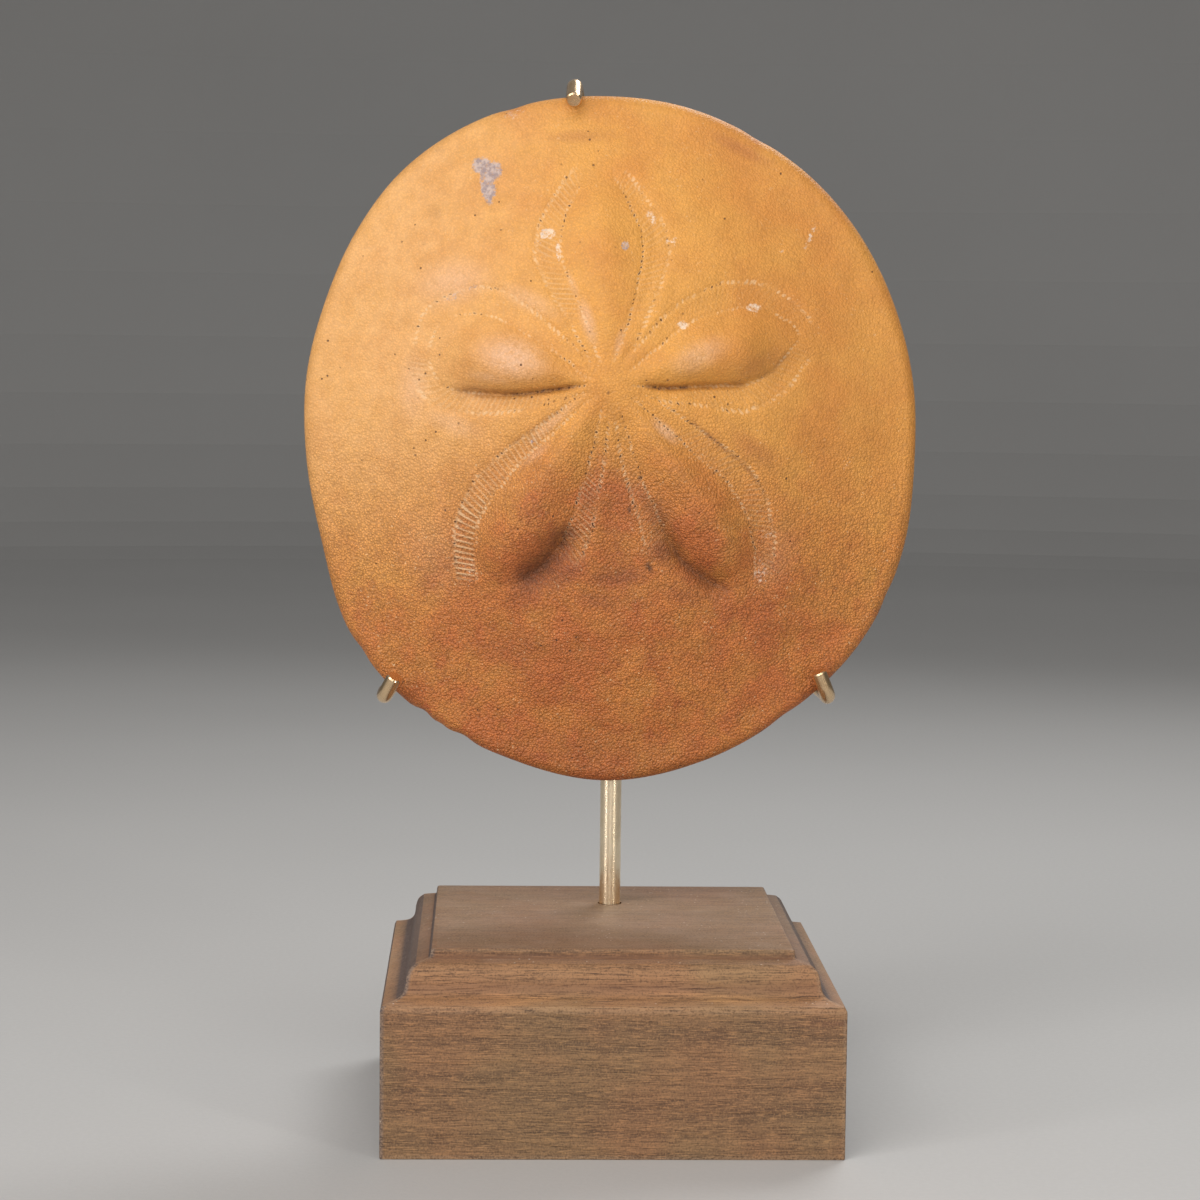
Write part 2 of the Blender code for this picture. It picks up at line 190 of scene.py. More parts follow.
# Petals. Each has two sides, seen from the apex: the clockwise one and the other. A side's row
# is the line of pores along the swollen part, from the apex to the tip. Its zone is the width of
# the pore zone outside that row near the apex, at its widest and at the tip, and reaches that
# share of the way to the tip. The flank says how steeply the swelling rises from the row, the
# combs how strong the fine grooves across the zone are, dark how many pores are dark, in the row
# and in the one outside the zone, and the slant how far the grooves lean toward the tip.
Side = namedtuple("Side", "row zone reaches flank combs dark slant", defaults=(-0.45,))
# The crest is where the swelling is highest, as a share of the way from the clockwise row
Petal = namedtuple("Petal", "compass bulge crest steepens fades clockwise anticlockwise")
PETALS = (
    Petal(
        356.3, 1.6, 0.5, (0.1, 0.3), (0.85, 1.0),
        Side(
            ((-0.4, 2.0), (1.2, 7.4), (2.7, 10.6), (5.3, 20.7), (6.7, 29.4), (6.3, 34.1), (4.6, 38.1),
             (1.6, 44.2), (0.2, 46.3)),
            (1.5, 6.2, 2.8), 1.0, 0.2, 0.2, (0.7, 0.2),
        ),
        Side(
            ((-1.6, 1.5), (-3.2, 5.5), (-7.0, 15.9), (-11.2, 26.4), (-11.8, 31.2), (-11.2, 35.8),
             (-7.8, 43.8), (-5.6, 46.3)),
            (1.5, 6.0, 3.0), 1.0, 0.2, 0.35, (0.5, 0.15),
        ),
    ),
    Petal(
        75.3, 3.4, 0.5, (0.0, 0.2), (0.66, 1.02),
        Side(
            ((1.6, -0.6), (7.9, -1.1), (13.0, -1.4), (21.2, -0.8), (29.3, -0.7), (33.1, 0.5),
             (36.6, 2.6), (40.1, 6.6), (43.5, 10.2)),
            (1.5, 5.8, 4.5), 1.0, 0.9, 0.12, (0.4, 0.2),
        ),
        Side(
            ((1.6, 0.6), (5.6, 3.9), (11.2, 8.5), (15.4, 12.1), (21.1, 14.8), (30.4, 17.2),
             (35.4, 16.4), (40.7, 13.6), (43.5, 10.2)),
            (2.0, 6.2, 3.5), 1.0, 0.25, 0.08, (0.1, 0.3),
        ),
    ),
    Petal(
        148.4, 3.5, 0.6, (0.5, 0.68), (0.86, 1.0),
        Side(
            ((0.6, -1.6), (2.1, -7.3), (3.9, -12.8), (5.6, -18.3), (8.1, -24.4), (10.8, -29.8),
             (13.0, -35.6), (17.4, -41.6), (24.0, -46.0), (29.0, -48.6)),
            (1.0, 5.0, 5.5), 0.66, 0.75, 0.2, (0.7, 0.6),
        ),
        Side(
            ((1.2, -1.2), (9.0, -7.3), (14.1, -11.6), (19.8, -16.9), (25.4, -21.4), (29.7, -27.3),
             (31.8, -32.3), (33.3, -38.0), (33.4, -45.5)),
            (2.2, 6.3, 4.0), 1.0, 0.1, 0.25, (0.65, 0.6),
        ),
    ),
    Petal(
        206.4, 3.5, 0.4, (0.5, 0.68), (0.86, 1.0),
        Side(
            ((-1.2, -1.2), (-7.2, -5.8), (-12.6, -11.2), (-20.9, -19.1), (-27.3, -27.5),
             (-30.0, -33.0), (-30.5, -39.1), (-30.0, -46.7)),
            (1.0, 5.6, 4.5), 1.0, 0.1, 1.0, (0.2, 0.6), 0.2,
        ),
        Side(
            ((-0.6, -1.6), (-2.4, -6.7), (-3.9, -13.8), (-5.1, -18.7), (-7.0, -24.5), (-8.8, -31.0),
             (-11.0, -36.8), (-14.4, -41.8), (-19.4, -45.6), (-24.0, -47.6)),
            (1.0, 5.4, 6.0), 0.74, 0.75, 0.5, (0.7, 0.7),
        ),
    ),
    Petal(
        280.2, 3.7, 0.5, (0.0, 0.2), (0.72, 1.02),
        Side(
            ((-2.0, 0.2), (-6.2, 1.1), (-10.1, 4.6), (-16.3, 8.4), (-23.7, 12.7), (-29.0, 14.7),
             (-35.3, 14.5), (-39.4, 12.0), (-41.9, 6.0)),
            (2.0, 6.5, 3.0), 1.0, 0.3, 0.05, (0.2, 0.3),
        ),
        Side(
            ((-2.0, -0.4), (-7.3, -1.1), (-13.4, -2.1), (-23.5, -3.3), (-35.7, -2.4), (-40.0, 0.7),
             (-41.9, 6.0)),
            (1.2, 4.5, 5.0), 1.0, 0.9, 0.3, (0.3, 0.4),
        ),
    ),
)  # fmt: skip
ROW_STEPS = 5
WIDEST_SHARE = 0.6
SWELLING_STARTS = (0.0, 0.35)
FLANK_EASE = 0.5
FLANK_EASE_SPAN = (0.55, 0.9)
PORE_ZONE_WIDTH = 6.0
ZONE_TROUGH_SPAN = (0.15, 0.4, 0.9, 1.0)
PORE_ZONE_DEPTH = 0.5
PORE_TROUGH_WIDTH = 0.45
PORES_START = (0.05, 0.1)
COMBS_START = (0.25, 0.4)
PORES_STOP = 0.05
PORE_PITCH = 1.2
FURROW_DEPTH = 0.2
FURROW_WIDTH = 0.7
CONTEST = (0.0, 0.5)  # where two pore zones meet, both fade over this difference
# The pores are dark round the apex, fading out over this reach, and the apex itself has none
APEX_DARK = 0.5
APEX_DARK_SPAN = (9, 28)
APEX_BARE = (2.5, 4.0)
# Folds in the surface: (line, depth, width, depth of the cut along its middle, width of the cut,
# the shares of its length over which it starts and ends)
FOLDS = (
    (((-5.5, -0.9), (-13.4, -2.1), (-23.5, -3.3), (-35.7, -2.4)), 1.0, 2.4, 0.9, 0.7, (0.25, 0.25)),
    (((5.5, -0.9), (13.0, -1.4), (21.2, -0.8), (29.3, -0.7), (36.6, 2.6),
     (40.1, 6.6)), 0.9, 2.4, 0.9, 0.7, (0.2, 0.6)),
    (((-8.6, -30.5), (-11.4, -37.6), (-15.4, -42.8), (-22.0, -46.6)), 2.2, 3.6, 0.7, 1.2, (0.4, 0.3)),
    (((9.5, -27.0), (12.6, -34.5), (17.2, -41.6), (23.0, -45.6),
     (29.5, -48.8)), 1.9, 3.2, 1.0, 1.0, (0.5, 0.2)),
)  # fmt: skip
# Dirt and painted shade in the folds: (line, width, strength)
DIRT_AND_SHADE_LINES = (
    (((-6.0, -0.9), (-13.4, -2.1), (-20.0, -3.1), (-27.0, -3.3)), 0.6, 0.85),
    (((-18.0, -2.9), (-28.3, -3.1), (-37.0, -2.0)), 1.2, 0.5),
    (((6.5, -1.0), (13.0, -1.4), (19.0, -1.0)), 0.55, 0.8),
    (((16.0, -1.2), (24.0, -0.9), (32.0, -0.2)), 0.8, 0.45),
    (((32.0, 0.2), (36.6, 2.6), (41.0, 7.6)), 0.6, 0.4),
    (((-8.4, -31.0), (-11.6, -38.0), (-15.6, -43.0), (-22.5, -46.8)), 3.0, 0.8),
    (((-11.6, -39.5), (-15.6, -43.0), (-19.5, -45.4)), 1.5, 0.4),
    (((8.4, -24.5), (11.2, -30.5), (13.0, -37.0), (17.2, -41.6)), 2.8, 0.5),
    (((12.6, -34.5), (17.2, -41.6), (23.0, -45.6), (29.5, -48.8)), 1.1, 0.7),
    (((16.3, -7.4), (22.0, -12.0), (30.0, -18.5), (35.0, -24.0)), 0.45, 0.5),
    (((-9.0, -4.5), (-18.1, -11.4), (-24.1, -15.4)), 0.5, 0.3),
)
DARKENING_LINE_ENDS = (0.2, 0.2)
REAR_VALLEY_COMPASS = 177.4
REAR_VALLEY_DEPTH = 1.4
REAR_VALLEY_WIDTH = 5.0
REAR_VALLEY_SPAN = (8.0, 24.0, 44.0, 58.0)
# Painted shade in the valley between the lower petals
REAR_VALLEY_PAINTED_SHADE = 0.16

# Unevenness of the stone: (size, height on the upper part, height on the lower part)
UNEVENNESS = ((17.0, 0.45, 0.6), (6.0, 0.14, 0.34), (2.2, 0.05, 0.16))
LOWER_PART = (25, 62)  # below the apex
RIM_SMOOTHER = 0.55
# Broken places on the rim: (compass, half-width in degrees, depth)
RIM_CHIPS = (
    (208.5, 1.5, 0.9),
    (205.5, 1.2, 0.5),
    (201.8, 1.9, 0.8),
    (152.0, 2.2, 0.35),
    (222.0, 1.8, 0.4),
    (340.0, 2.5, 0.3),
    (127.0, 2.0, 0.3),
    (31.0, 2.5, 0.25),
)
CHIP_REACH = 0.07  # of the way in from the rim

# Fossil mesh
SEGMENTS = 600
FIELD_RINGS = 88
FIELD_SHARE = 0.66
MARGIN_RINGS = 30
EDGE_RINGS = 8
BACK_RINGS = 34
BACK_RING_POWER = 1.5

# Marks on the stone: (across, up, half-length, half-width, turn in degrees, strength)
CRUSTS = (
    (-14.8, 33.0, 2.2, 1.6, 20, 0.9),
    (-12.3, 29.0, 0.8, 2.6, 8, 0.8),
    (8.9, 37.0, 1.3, 2.4, 25, 0.7),
    (13.7, 31.5, 2.2, 1.5, 0, 0.6),
    (15.7, 12.8, 1.5, 1.2, 0, 0.9),
    (32.1, 16.9, 2.2, 1.2, 0, 0.9),
    (-22.4, 60.5, 3.6, 1.3, 20, 0.6),
    (35.0, -43.3, 2.4, 3.6, 10, 0.6),
    (45.4, 32.8, 4.4, 0.7, 65, 0.8),
    (38.9, 29.8, 1.0, 0.9, 0, 0.6),
    (54.6, -18.7, 1.2, 2.2, 0, 0.55),
    (-15.3, 15.4, 4.5, 1.2, -35, 0.4),
    (-32.0, -44.5, 2.4, 5.0, 0, 0.45),
    (-35.2, -36.0, 0.9, 7.0, 0, 0.4),
    (35.8, -34.3, 2.0, 2.0, 0, 0.5),
    (-6.5, -52.5, 3.0, 1.3, 0, 0.35),
    (7.5, -49.0, 3.0, 1.5, 15, 0.35),
    (-33.0, -8.0, 4.0, 2.0, -40, 0.3),
)
LILAC_MARKS = (
    (-29.8, 48.6, 2.6, 2.4, 0, 1.0),
    (-26.8, 47.6, 2.0, 2.4, 20, 1.0),
    (-28.3, 45.9, 2.2, 2.6, 0, 0.95),
    (-28.2, 43.0, 2.0, 2.8, 10, 1.0),
    (-28.0, 40.6, 1.1, 1.6, 30, 0.8),
    (2.7, 30.5, 1.2, 1.4, 0, 0.8),
    (-15.6, 33.4, 1.3, 1.0, 0, 0.5),
    (-31.5, 21.0, 3.0, 0.9, 25, 0.55),
    (-35.8, 18.8, 3.4, 0.9, 25, 0.5),
    (-16.8, 30.9, 1.2, 0.9, 0, 0.4),
    (-17.5, -13.6, 1.0, 0.7, 20, 0.7),
    (-34.5, -33.0, 0.9, 6.0, 0, 0.4),
    (-41.5, 4.0, 1.4, 3.2, 20, 0.3),
)
# Smooth redder places, some of them painted shade, and a pale pinkish bloom, partly painted sheen
RED_AND_SHADE_MARKS = (
    (-9.9, -44.2, 6.0, 2.8, 35, 0.8),
    (-5.4, -27.5, 1.6, 4.0, -8, 0.5),
    (11.5, -38.5, 5.0, 3.0, 0, 0.7),
    (6.8, -25.0, 2.0, 3.0, 20, 0.5),
    (33.5, 4.0, 8.0, 2.6, 30, 0.3),
    (17.0, -48.5, 7.0, 2.4, -20, 0.5),
    (2.0, -44.5, 8.0, 2.2, 5, 0.8),
    (-3.0, -50.0, 6.0, 2.0, -15, 0.5),
    (33.0, -15.5, 7.0, 3.0, -35, 0.35),
    (30.0, 53.0, 9.0, 1.8, -25, 0.4),
    (-8.0, 55.5, 9.0, 1.6, 3, 0.3),
    (-20.0, -62.0, 9.0, 4.0, 10, 0.3),
    # The next two are painted shade on the folds at the ends of the lower petals
    (-15.5, -43.5, 11.0, 4.5, 50, 0.7),
    (20.5, -45.5, 10.0, 4.0, -38, 0.5),
    # Darker and redder along the bottom edge
    (0.0, -90.0, 34.0, 10.0, 0, 0.4),
)
BLOOM_AND_SHEEN_MARKS = (
    # Partly painted sheen; the first three are painted highlights on the swellings of the side petals
    (-22.6, 5.0, 9.0, 5.4, -14, 0.85),
    (-27.5, 0.6, 6.0, 1.6, -8, 0.35),
    (19.5, 6.0, 8.0, 3.8, 28, 0.45),
    (12.0, -11.0, 4.6, 1.7, -42, 0.7),
    (-13.4, -9.4, 8.5, 1.5, 40, 0.45),
    (-17.0, -16.5, 5.0, 1.3, 42, 0.35),
    (-5.6, 13.2, 1.9, 6.5, 16, 0.6),
    (-9.0, 21.5, 1.1, 4.0, 22, 0.35),
    (1.4, 9.0, 1.1, 4.5, -16, 0.35),
    (-19.0, 18.0, 9.0, 3.0, -25, 0.4),
    (-36.0, 22.0, 10.0, 6.0, 10, 0.5),
    (-45.0, -2.0, 4.0, 9.0, 0, 0.4),
    (-36.0, -10.0, 8.0, 3.0, -20, 0.35),
    (-40.0, -40.0, 8.0, 12.0, 20, 0.14),
    (38.0, -40.0, 6.0, 10.0, -20, 0.12),
)
DARK_MARKS = (
    (9.0, -42.2, 0.55, 1.3, 25, 1.0),
    (6.5, -21.6, 0.5, 0.5, 0, 0.9),
    (4.3, -28.9, 0.45, 1.0, 0, 0.8),
    (-1.0, -2.6, 0.35, 0.35, 0, 0.8),
    (-39.5, 52.0, 1.6, 0.9, 30, 0.14),
    (-40.5, 38.0, 1.8, 1.6, 0, 0.12),
)

# Rust from the middle down, partly painted shade, less of it at the two sides, more round the
# hollow between the lower petals, also partly painted shade, and a little to the right: strengths,
# the reaches over which they rise or fall, and the hollow's middle and half-sizes. Then the painted
# pinkish sheen at the upper left, and the roughness
RUST_AND_SHADE_DOWN = (0.95, 8, 66)
RUST_SIDES = (0.45, 30, 50)
RUST_SIDES_END = (40, 70)
RUST_RIGHT = (0.14, 5, 55)
RUST_AND_SHADE_HOLLOW = (0.9, 1, -32, 27, 18)
PINK_SHEEN = (0.85, 0, 50)
PINK_SHEEN_UP = (-62, -5)
ROUGH_LEAST = 0.25
ROUGH_DOWN = (0.75, 0, 50)
ROUGH_HOLLOW = (0.4, 0, -26, 30, 24)
CHIPPED_FACTOR = 1.4

# All marks, with the shares of their size between which they fade out
MARK_EDGE = (0.55, 1.25)
MARKS = {
    "crust": (CRUSTS, *MARK_EDGE),
    "lilac": (LILAC_MARKS, *MARK_EDGE),
    "dark": (DARK_MARKS, *MARK_EDGE),
    "bloom_and_sheen": (BLOOM_AND_SHEEN_MARKS, 0.1, 1.2),
    "red_and_shade": (RED_AND_SHADE_MARKS, 0.2, 1.3),
}

# Linear colours
GOLD = (0.70, 0.325, 0.065)
DEEP_GOLD = (0.63, 0.26, 0.05)
# Painted sheen at the upper left
SHEEN_PINK_TAN = (0.74, 0.40, 0.15)
# Rust, partly painted shade
RUST_AND_SHADE_RED = (0.50, 0.148, 0.037)
RED_RUST = (0.43, 0.115, 0.032)
# Dirt and painted shade in the hollows
HOLLOW_BROWN = (0.14, 0.052, 0.022)
PALE_FLECK = (0.86, 0.62, 0.36)
CRUST_WHITE = (0.80, 0.66, 0.52)
LILAC_GREY = (0.27, 0.22, 0.235)
LILAC_PALE = (0.52, 0.42, 0.39)
# Pale pinkish bloom, partly painted sheen
BLOOM_AND_SHEEN = (0.76, 0.46, 0.28)
# Redder smooth places, some of them painted shade
RED_SMOOTH_AND_SHADE = (0.33, 0.095, 0.032)
PIT_BLACK = (0.055, 0.03, 0.018)
PIT_BROWN = (0.10, 0.05, 0.028)
WOOD_PALE = (0.258, 0.142, 0.068)
WOOD_MID = (0.168, 0.093, 0.047)
# Painted light: the table's top, paler as lit from above
WOOD_TABLE_TOP_LIT = (0.21, 0.119, 0.064)
WOOD_DARK = (0.060, 0.033, 0.020)
WOOD_GOLD = (0.36, 0.195, 0.088)
WOOD_RED = (0.17, 0.078, 0.042)
STREAK_GOLD = (0.54, 0.28, 0.12)
COOL_TINT = (0.96, 1.0, 0.98)
WARM_TINT = (1.04, 0.97, 0.95)
END_GRAIN = (0.085, 0.062, 0.058)
END_PALE = (0.150, 0.112, 0.098)
WORN_WOOD = (0.33, 0.22, 0.135)
DUST = (0.72, 0.63, 0.54)
BRASS = (0.98, 0.83, 0.60)
BROWN_BRASS = (0.80, 0.58, 0.35)
BRASS_BROWN = (0.42, 0.25, 0.11)
SOLDER = (0.78, 0.70, 0.55)
FLOOR = (0.50, 0.495, 0.485)


# Shader graphs
class Value:
    """An output of a node. Plain arithmetic with it adds math nodes."""

    def __init__(self, graph, socket):
        self.graph = graph
        self.socket = socket

    def other(self, output):
        """Another output of the same node."""
        return Value(self.graph, self.socket.node.outputs[output])

    def __add__(self, value):
        return self.graph.math("ADD", self, value)

    def __sub__(self, value):
        return self.graph.math("SUBTRACT", self, value)

    def __rsub__(self, value):
        return self.graph.math("SUBTRACT", value, self)

    def __mul__(self, value):
        return self.graph.math("MULTIPLY", self, value)

    def __truediv__(self, value):
        return self.graph.math("DIVIDE", self, value)

    __radd__ = __add__
    __rmul__ = __mul__


class Graph:
    """A material, the nodes that are added to it, and the colour that they lay over each other."""

    def __init__(self, name):
        self.material = bpy.data.materials.new(name)
        self.material.use_nodes = True
        self.tree = self.material.node_tree
        self.shader = self.tree.nodes["Principled BSDF"]
        self.place = self.add("ShaderNodeTexCoord", output="Object")

    def add(self, kind, inputs=(), output=0, **settings):
        """An output of a new node."""
        node = self.tree.nodes.new(kind)
        for key, value in settings.items():
            setattr(node, key, value)
        for key, value in inputs:
            self.feed(node.inputs[key], value)
        return Value(self, node.outputs[output])

    def feed(self, socket, value):
        if isinstance(value, Value):
            self.tree.links.new(value.socket, socket)
        elif isinstance(value, tuple) and socket.type == "RGBA":
            socket.default_value = (*value, 1.0)
        else:
            socket.default_value = value

    def finish(self, **values):
        """Feeds the colour and the values to the shader, and returns the material."""
        for key, value in {"Base Color": self.colour, **values}.items():
            self.feed(self.shader.inputs[key.replace("_", " ")], value)
        return self.material

    def attribute(self, name, output="Fac"):
        return self.add("ShaderNodeAttribute", output=output, attribute_name=name)

    def math(self, operation, *values):
        return self.add("ShaderNodeMath", enumerate(values), operation=operation)

    def split(self, vector):
        """The X of the vector; its Y and Z are the node's other outputs."""
        return self.add("ShaderNodeSeparateXYZ", [(0, vector)])

    def noise(self, scale, detail=2.0, roughness=0.5, distortion=0.0, place=None, stretch=None):
        """Noise at the place, with each axis scaled where it is stretched, as for grain."""
        place = place or self.place
        if stretch:
            place = self.add("ShaderNodeVectorMath", [(0, place), (1, stretch)], operation="MULTIPLY")
        inputs = (
            ("Vector", place),
            ("Scale", scale),
            ("Detail", detail),
            ("Roughness", roughness),
            ("Distortion", distortion),
        )
        return self.add("ShaderNodeTexNoise", inputs)

    def cells(self, scale):
        """The distance from the middle of a cell."""
        return self.add("ShaderNodeTexVoronoi", (("Vector", self.place), ("Scale", scale)))

    def ramp(self, value, low, high, to_low=0.0, to_high=1.0):
        """The value, smoothly spread from low..high to to_low..to_high."""
        names = ("Value", "From Min", "From Max", "To Min", "To Max")
        inputs = zip(names, (value, low, high, to_low, to_high))
        return self.add("ShaderNodeMapRange", inputs, interpolation_type="SMOOTHSTEP")

    def mix(self, factor, first, second, blend="MIX"):
        inputs = ((0, factor), (6, first), (7, second))
        return self.add("ShaderNodeMix", inputs, output=2, data_type="RGBA", blend_type=blend)

    def layer(self, factor, colour, blend="MIX"):
        """Lays the colour over what is there, as far as the factor says."""
        self.colour = self.mix(factor, self.colour, colour, blend)

    def shade(self, value):
        """Multiplies the colour by a plain value."""
        grey = self.add("ShaderNodeCombineColor", ((0, value), (1, value), (2, value)))
        self.layer(1.0, grey, "MULTIPLY")

    def bump(self, height, distance, normal=None, strength=1.0):
        inputs = [("Height", height), ("Distance", distance), ("Strength", strength)]
        if normal:
            inputs.append(("Normal", normal))
        return self.add("ShaderNodeBump", inputs)


def stone_material():
    """Orange-tan limestone: mottled, granular, with pore rows, combs, crusts and dark hollows."""
    g = Graph("fossil_stone")
    mottle = g.noise(210, 3, 0.6)
    fine = g.noise(900, 3, 0.6)
    rust_and_shade = g.attribute("rust_and_shade")
    rough = g.attribute("rough")

    g.colour = g.mix(g.ramp(g.noise(55, 3, 0.55), 0.35, 0.68), GOLD, DEEP_GOLD)
    # Painted sheen: pinkish tan at the upper left, from the light on the left
    g.layer(g.attribute("pink_sheen") * g.ramp(mottle, 0.2, 0.75, 0.55, 1.0), SHEEN_PINK_TAN)
    # Rust, partly painted shade from the middle down and round the hollow between the lower petals
    patches = g.ramp(mottle, 0.25, 0.7, 0.75, 1.1) * g.ramp(g.noise(75, 2), 0.35, 0.65, 0.7, 1.1)
    g.layer(rust_and_shade * patches, RUST_AND_SHADE_RED)
    reddened = g.ramp(g.noise(120, 4, 0.65), 0.52, 0.72, 0.0, 0.8)
    g.layer(rust_and_shade * reddened, RED_RUST)
    g.shade(1.0 + (mottle - 0.5) * (0.3 * rough + 0.16))
    g.shade(g.ramp(fine, 0.25, 0.75, 0.96, 1.03))
    # Redder smooth places, some of them painted shade on the folds at the ends of the lower petals
    g.layer(g.attribute("red_and_shade") * g.ramp(mottle, 0.2, 0.55, 0.6, 1.0), RED_SMOOTH_AND_SHADE)
    # Pale pinkish bloom, partly painted sheen, with painted highlights on the side petals
    g.layer(g.attribute("bloom_and_sheen") * g.ramp(fine, 0.25, 0.65, 0.45, 1.0), BLOOM_AND_SHEEN)

    # Granules: painted highlights on their tops and painted shade between them, with a tone of
    # their own, all stronger where the stone is rough
    grain = g.cells(1950.0)
    grain_tone = g.add("ShaderNodeSeparateColor", [(0, grain.other("Color"))])
    granular = g.ramp(grain, 0.1, 0.62, 1.0, 0.0) - 0.55 + (0.6 * grain_tone - 0.3)
    g.shade(1.0 + granular * (0.4 * rough + 0.05))
    fleck = g.ramp(g.noise(1500, 2, 0.6), 0.64, 0.74) * g.ramp(g.noise(160, 2), 0.42, 0.62)
    g.layer(fleck * (0.4 * rough + 0.2), PALE_FLECK)

    # Pore rows: the inner one along the petal's edge, the outer one across the pore zone
    zone_mm = g.attribute("zone_mm")
    zone_width = g.attribute("zone_width")
    cycle = g.attribute("row_mm") / PORE_PITCH
    jitter = (g.noise(650, 1) - 0.5) * 1.1
    along = (g.math("FRACT", cycle + jitter) - 0.5) * PORE_PITCH
    wobble = (g.noise(330, 2) - 0.5) * 1.3
    uneven = g.ramp(g.noise(760, 1), 0.35, 0.65, 0.0, 1.1)
    gate = g.ramp(g.noise(110, 4, 0.65), 0.3, 0.7)
    near_apex = g.attribute("near_apex")
    halos, dark_dots = [], []
    for row, name, squash, size in (
        (zone_mm, "dark_inner", 1.0, 0.2),
        (zone_mm - zone_width, "dark_outer", 0.7, 0.18),
    ):
        off = (row + wobble) * squash
        reach = g.math("SQRT", off * off + along * along)
        halos.append(g.ramp(reach, 1.2 * size, 2.6 * size, 1.0, 0.0))
        darkness = g.math("MAXIMUM", g.attribute(name), near_apex)
        shown = g.ramp(darkness - gate, -0.12, 0.12)
        dark_dots.append(g.ramp(reach, 0.5 * size, 1.4 * size, 1.0, 0.0) * uneven * shown)
    pores = g.attribute("pores")
    halo = g.math("MAXIMUM", *halos) * pores * g.ramp(mottle, 0.4, 0.6, 0.05, 1.0)
    dark_dot = g.math("MAXIMUM", *dark_dots) * pores

    # Combs: fine ridges across the pore zone
    zone_share = zone_mm / zone_width
    in_zone = g.ramp(zone_share, 0.0, 0.16) * g.ramp(zone_share, 1.08, 0.92)
    combs = in_zone * g.attribute("comb") * g.ramp(g.noise(140, 2), 0.36, 0.56, 0.35, 1.0)
    wave = g.math("COSINE", cycle * (2 * math.pi))
    g.layer(combs * 0.16, HOLLOW_BROWN)
    g.layer(g.ramp(wave, 0.1, 0.85) * combs * 0.48, PALE_FLECK)
    g.layer((halo - dark_dot) * 0.42, PALE_FLECK)

    # Dirt and painted shade in the hollows, crusts, lilac-grey spots and pinholes
    broken = g.ramp(fine, 0.35, 0.6, 0.5, 1.1) * g.ramp(mottle, 0.3, 0.6, 0.75, 1.05)
    g.layer(g.attribute("hollow") * broken, HOLLOW_BROWN)
    specks = g.noise(1100, 4, 0.75)
    crust = g.ramp(g.attribute("crust") * 0.44 + specks, 0.74, 0.96, 0.0, 0.75)
    g.layer(crust, CRUST_WHITE)
    lilac = g.ramp(g.attribute("lilac") * 0.5 + specks, 0.72, 0.98, 0.0, 0.9)
    g.layer(lilac, g.mix(g.ramp(fine, 0.4, 0.65), LILAC_GREY, LILAC_PALE))
    pinhole = g.ramp(g.cells(330), 0.1, 0.055) * g.ramp(g.noise(70, 2), 0.5, 0.6)
    pits = g.math("MAXIMUM", dark_dot, pinhole)
    g.layer(pits * 0.8, PIT_BROWN)
    g.layer(g.attribute("dark") * 0.85, PIT_BLACK)
    g.layer(g.attribute("chipped") * g.ramp(fine, 0.4, 0.6), RED_RUST)

    normal = g.bump(g.noise(300, 4, 0.6), 0.5 * MM, strength=0.3)
    normal = g.bump((1.0 - grain) * (0.9 * rough + 0.2), 0.3 * MM, normal)
    normal = g.bump(wave * combs * 0.5 - pits * 1.6, 0.14 * MM, normal)
    return g.finish(
        Roughness=g.ramp(fine, 0.2, 0.8, 0.46, 0.66),
        Normal=normal,
        Specular_IOR_Level=0.42,
    )


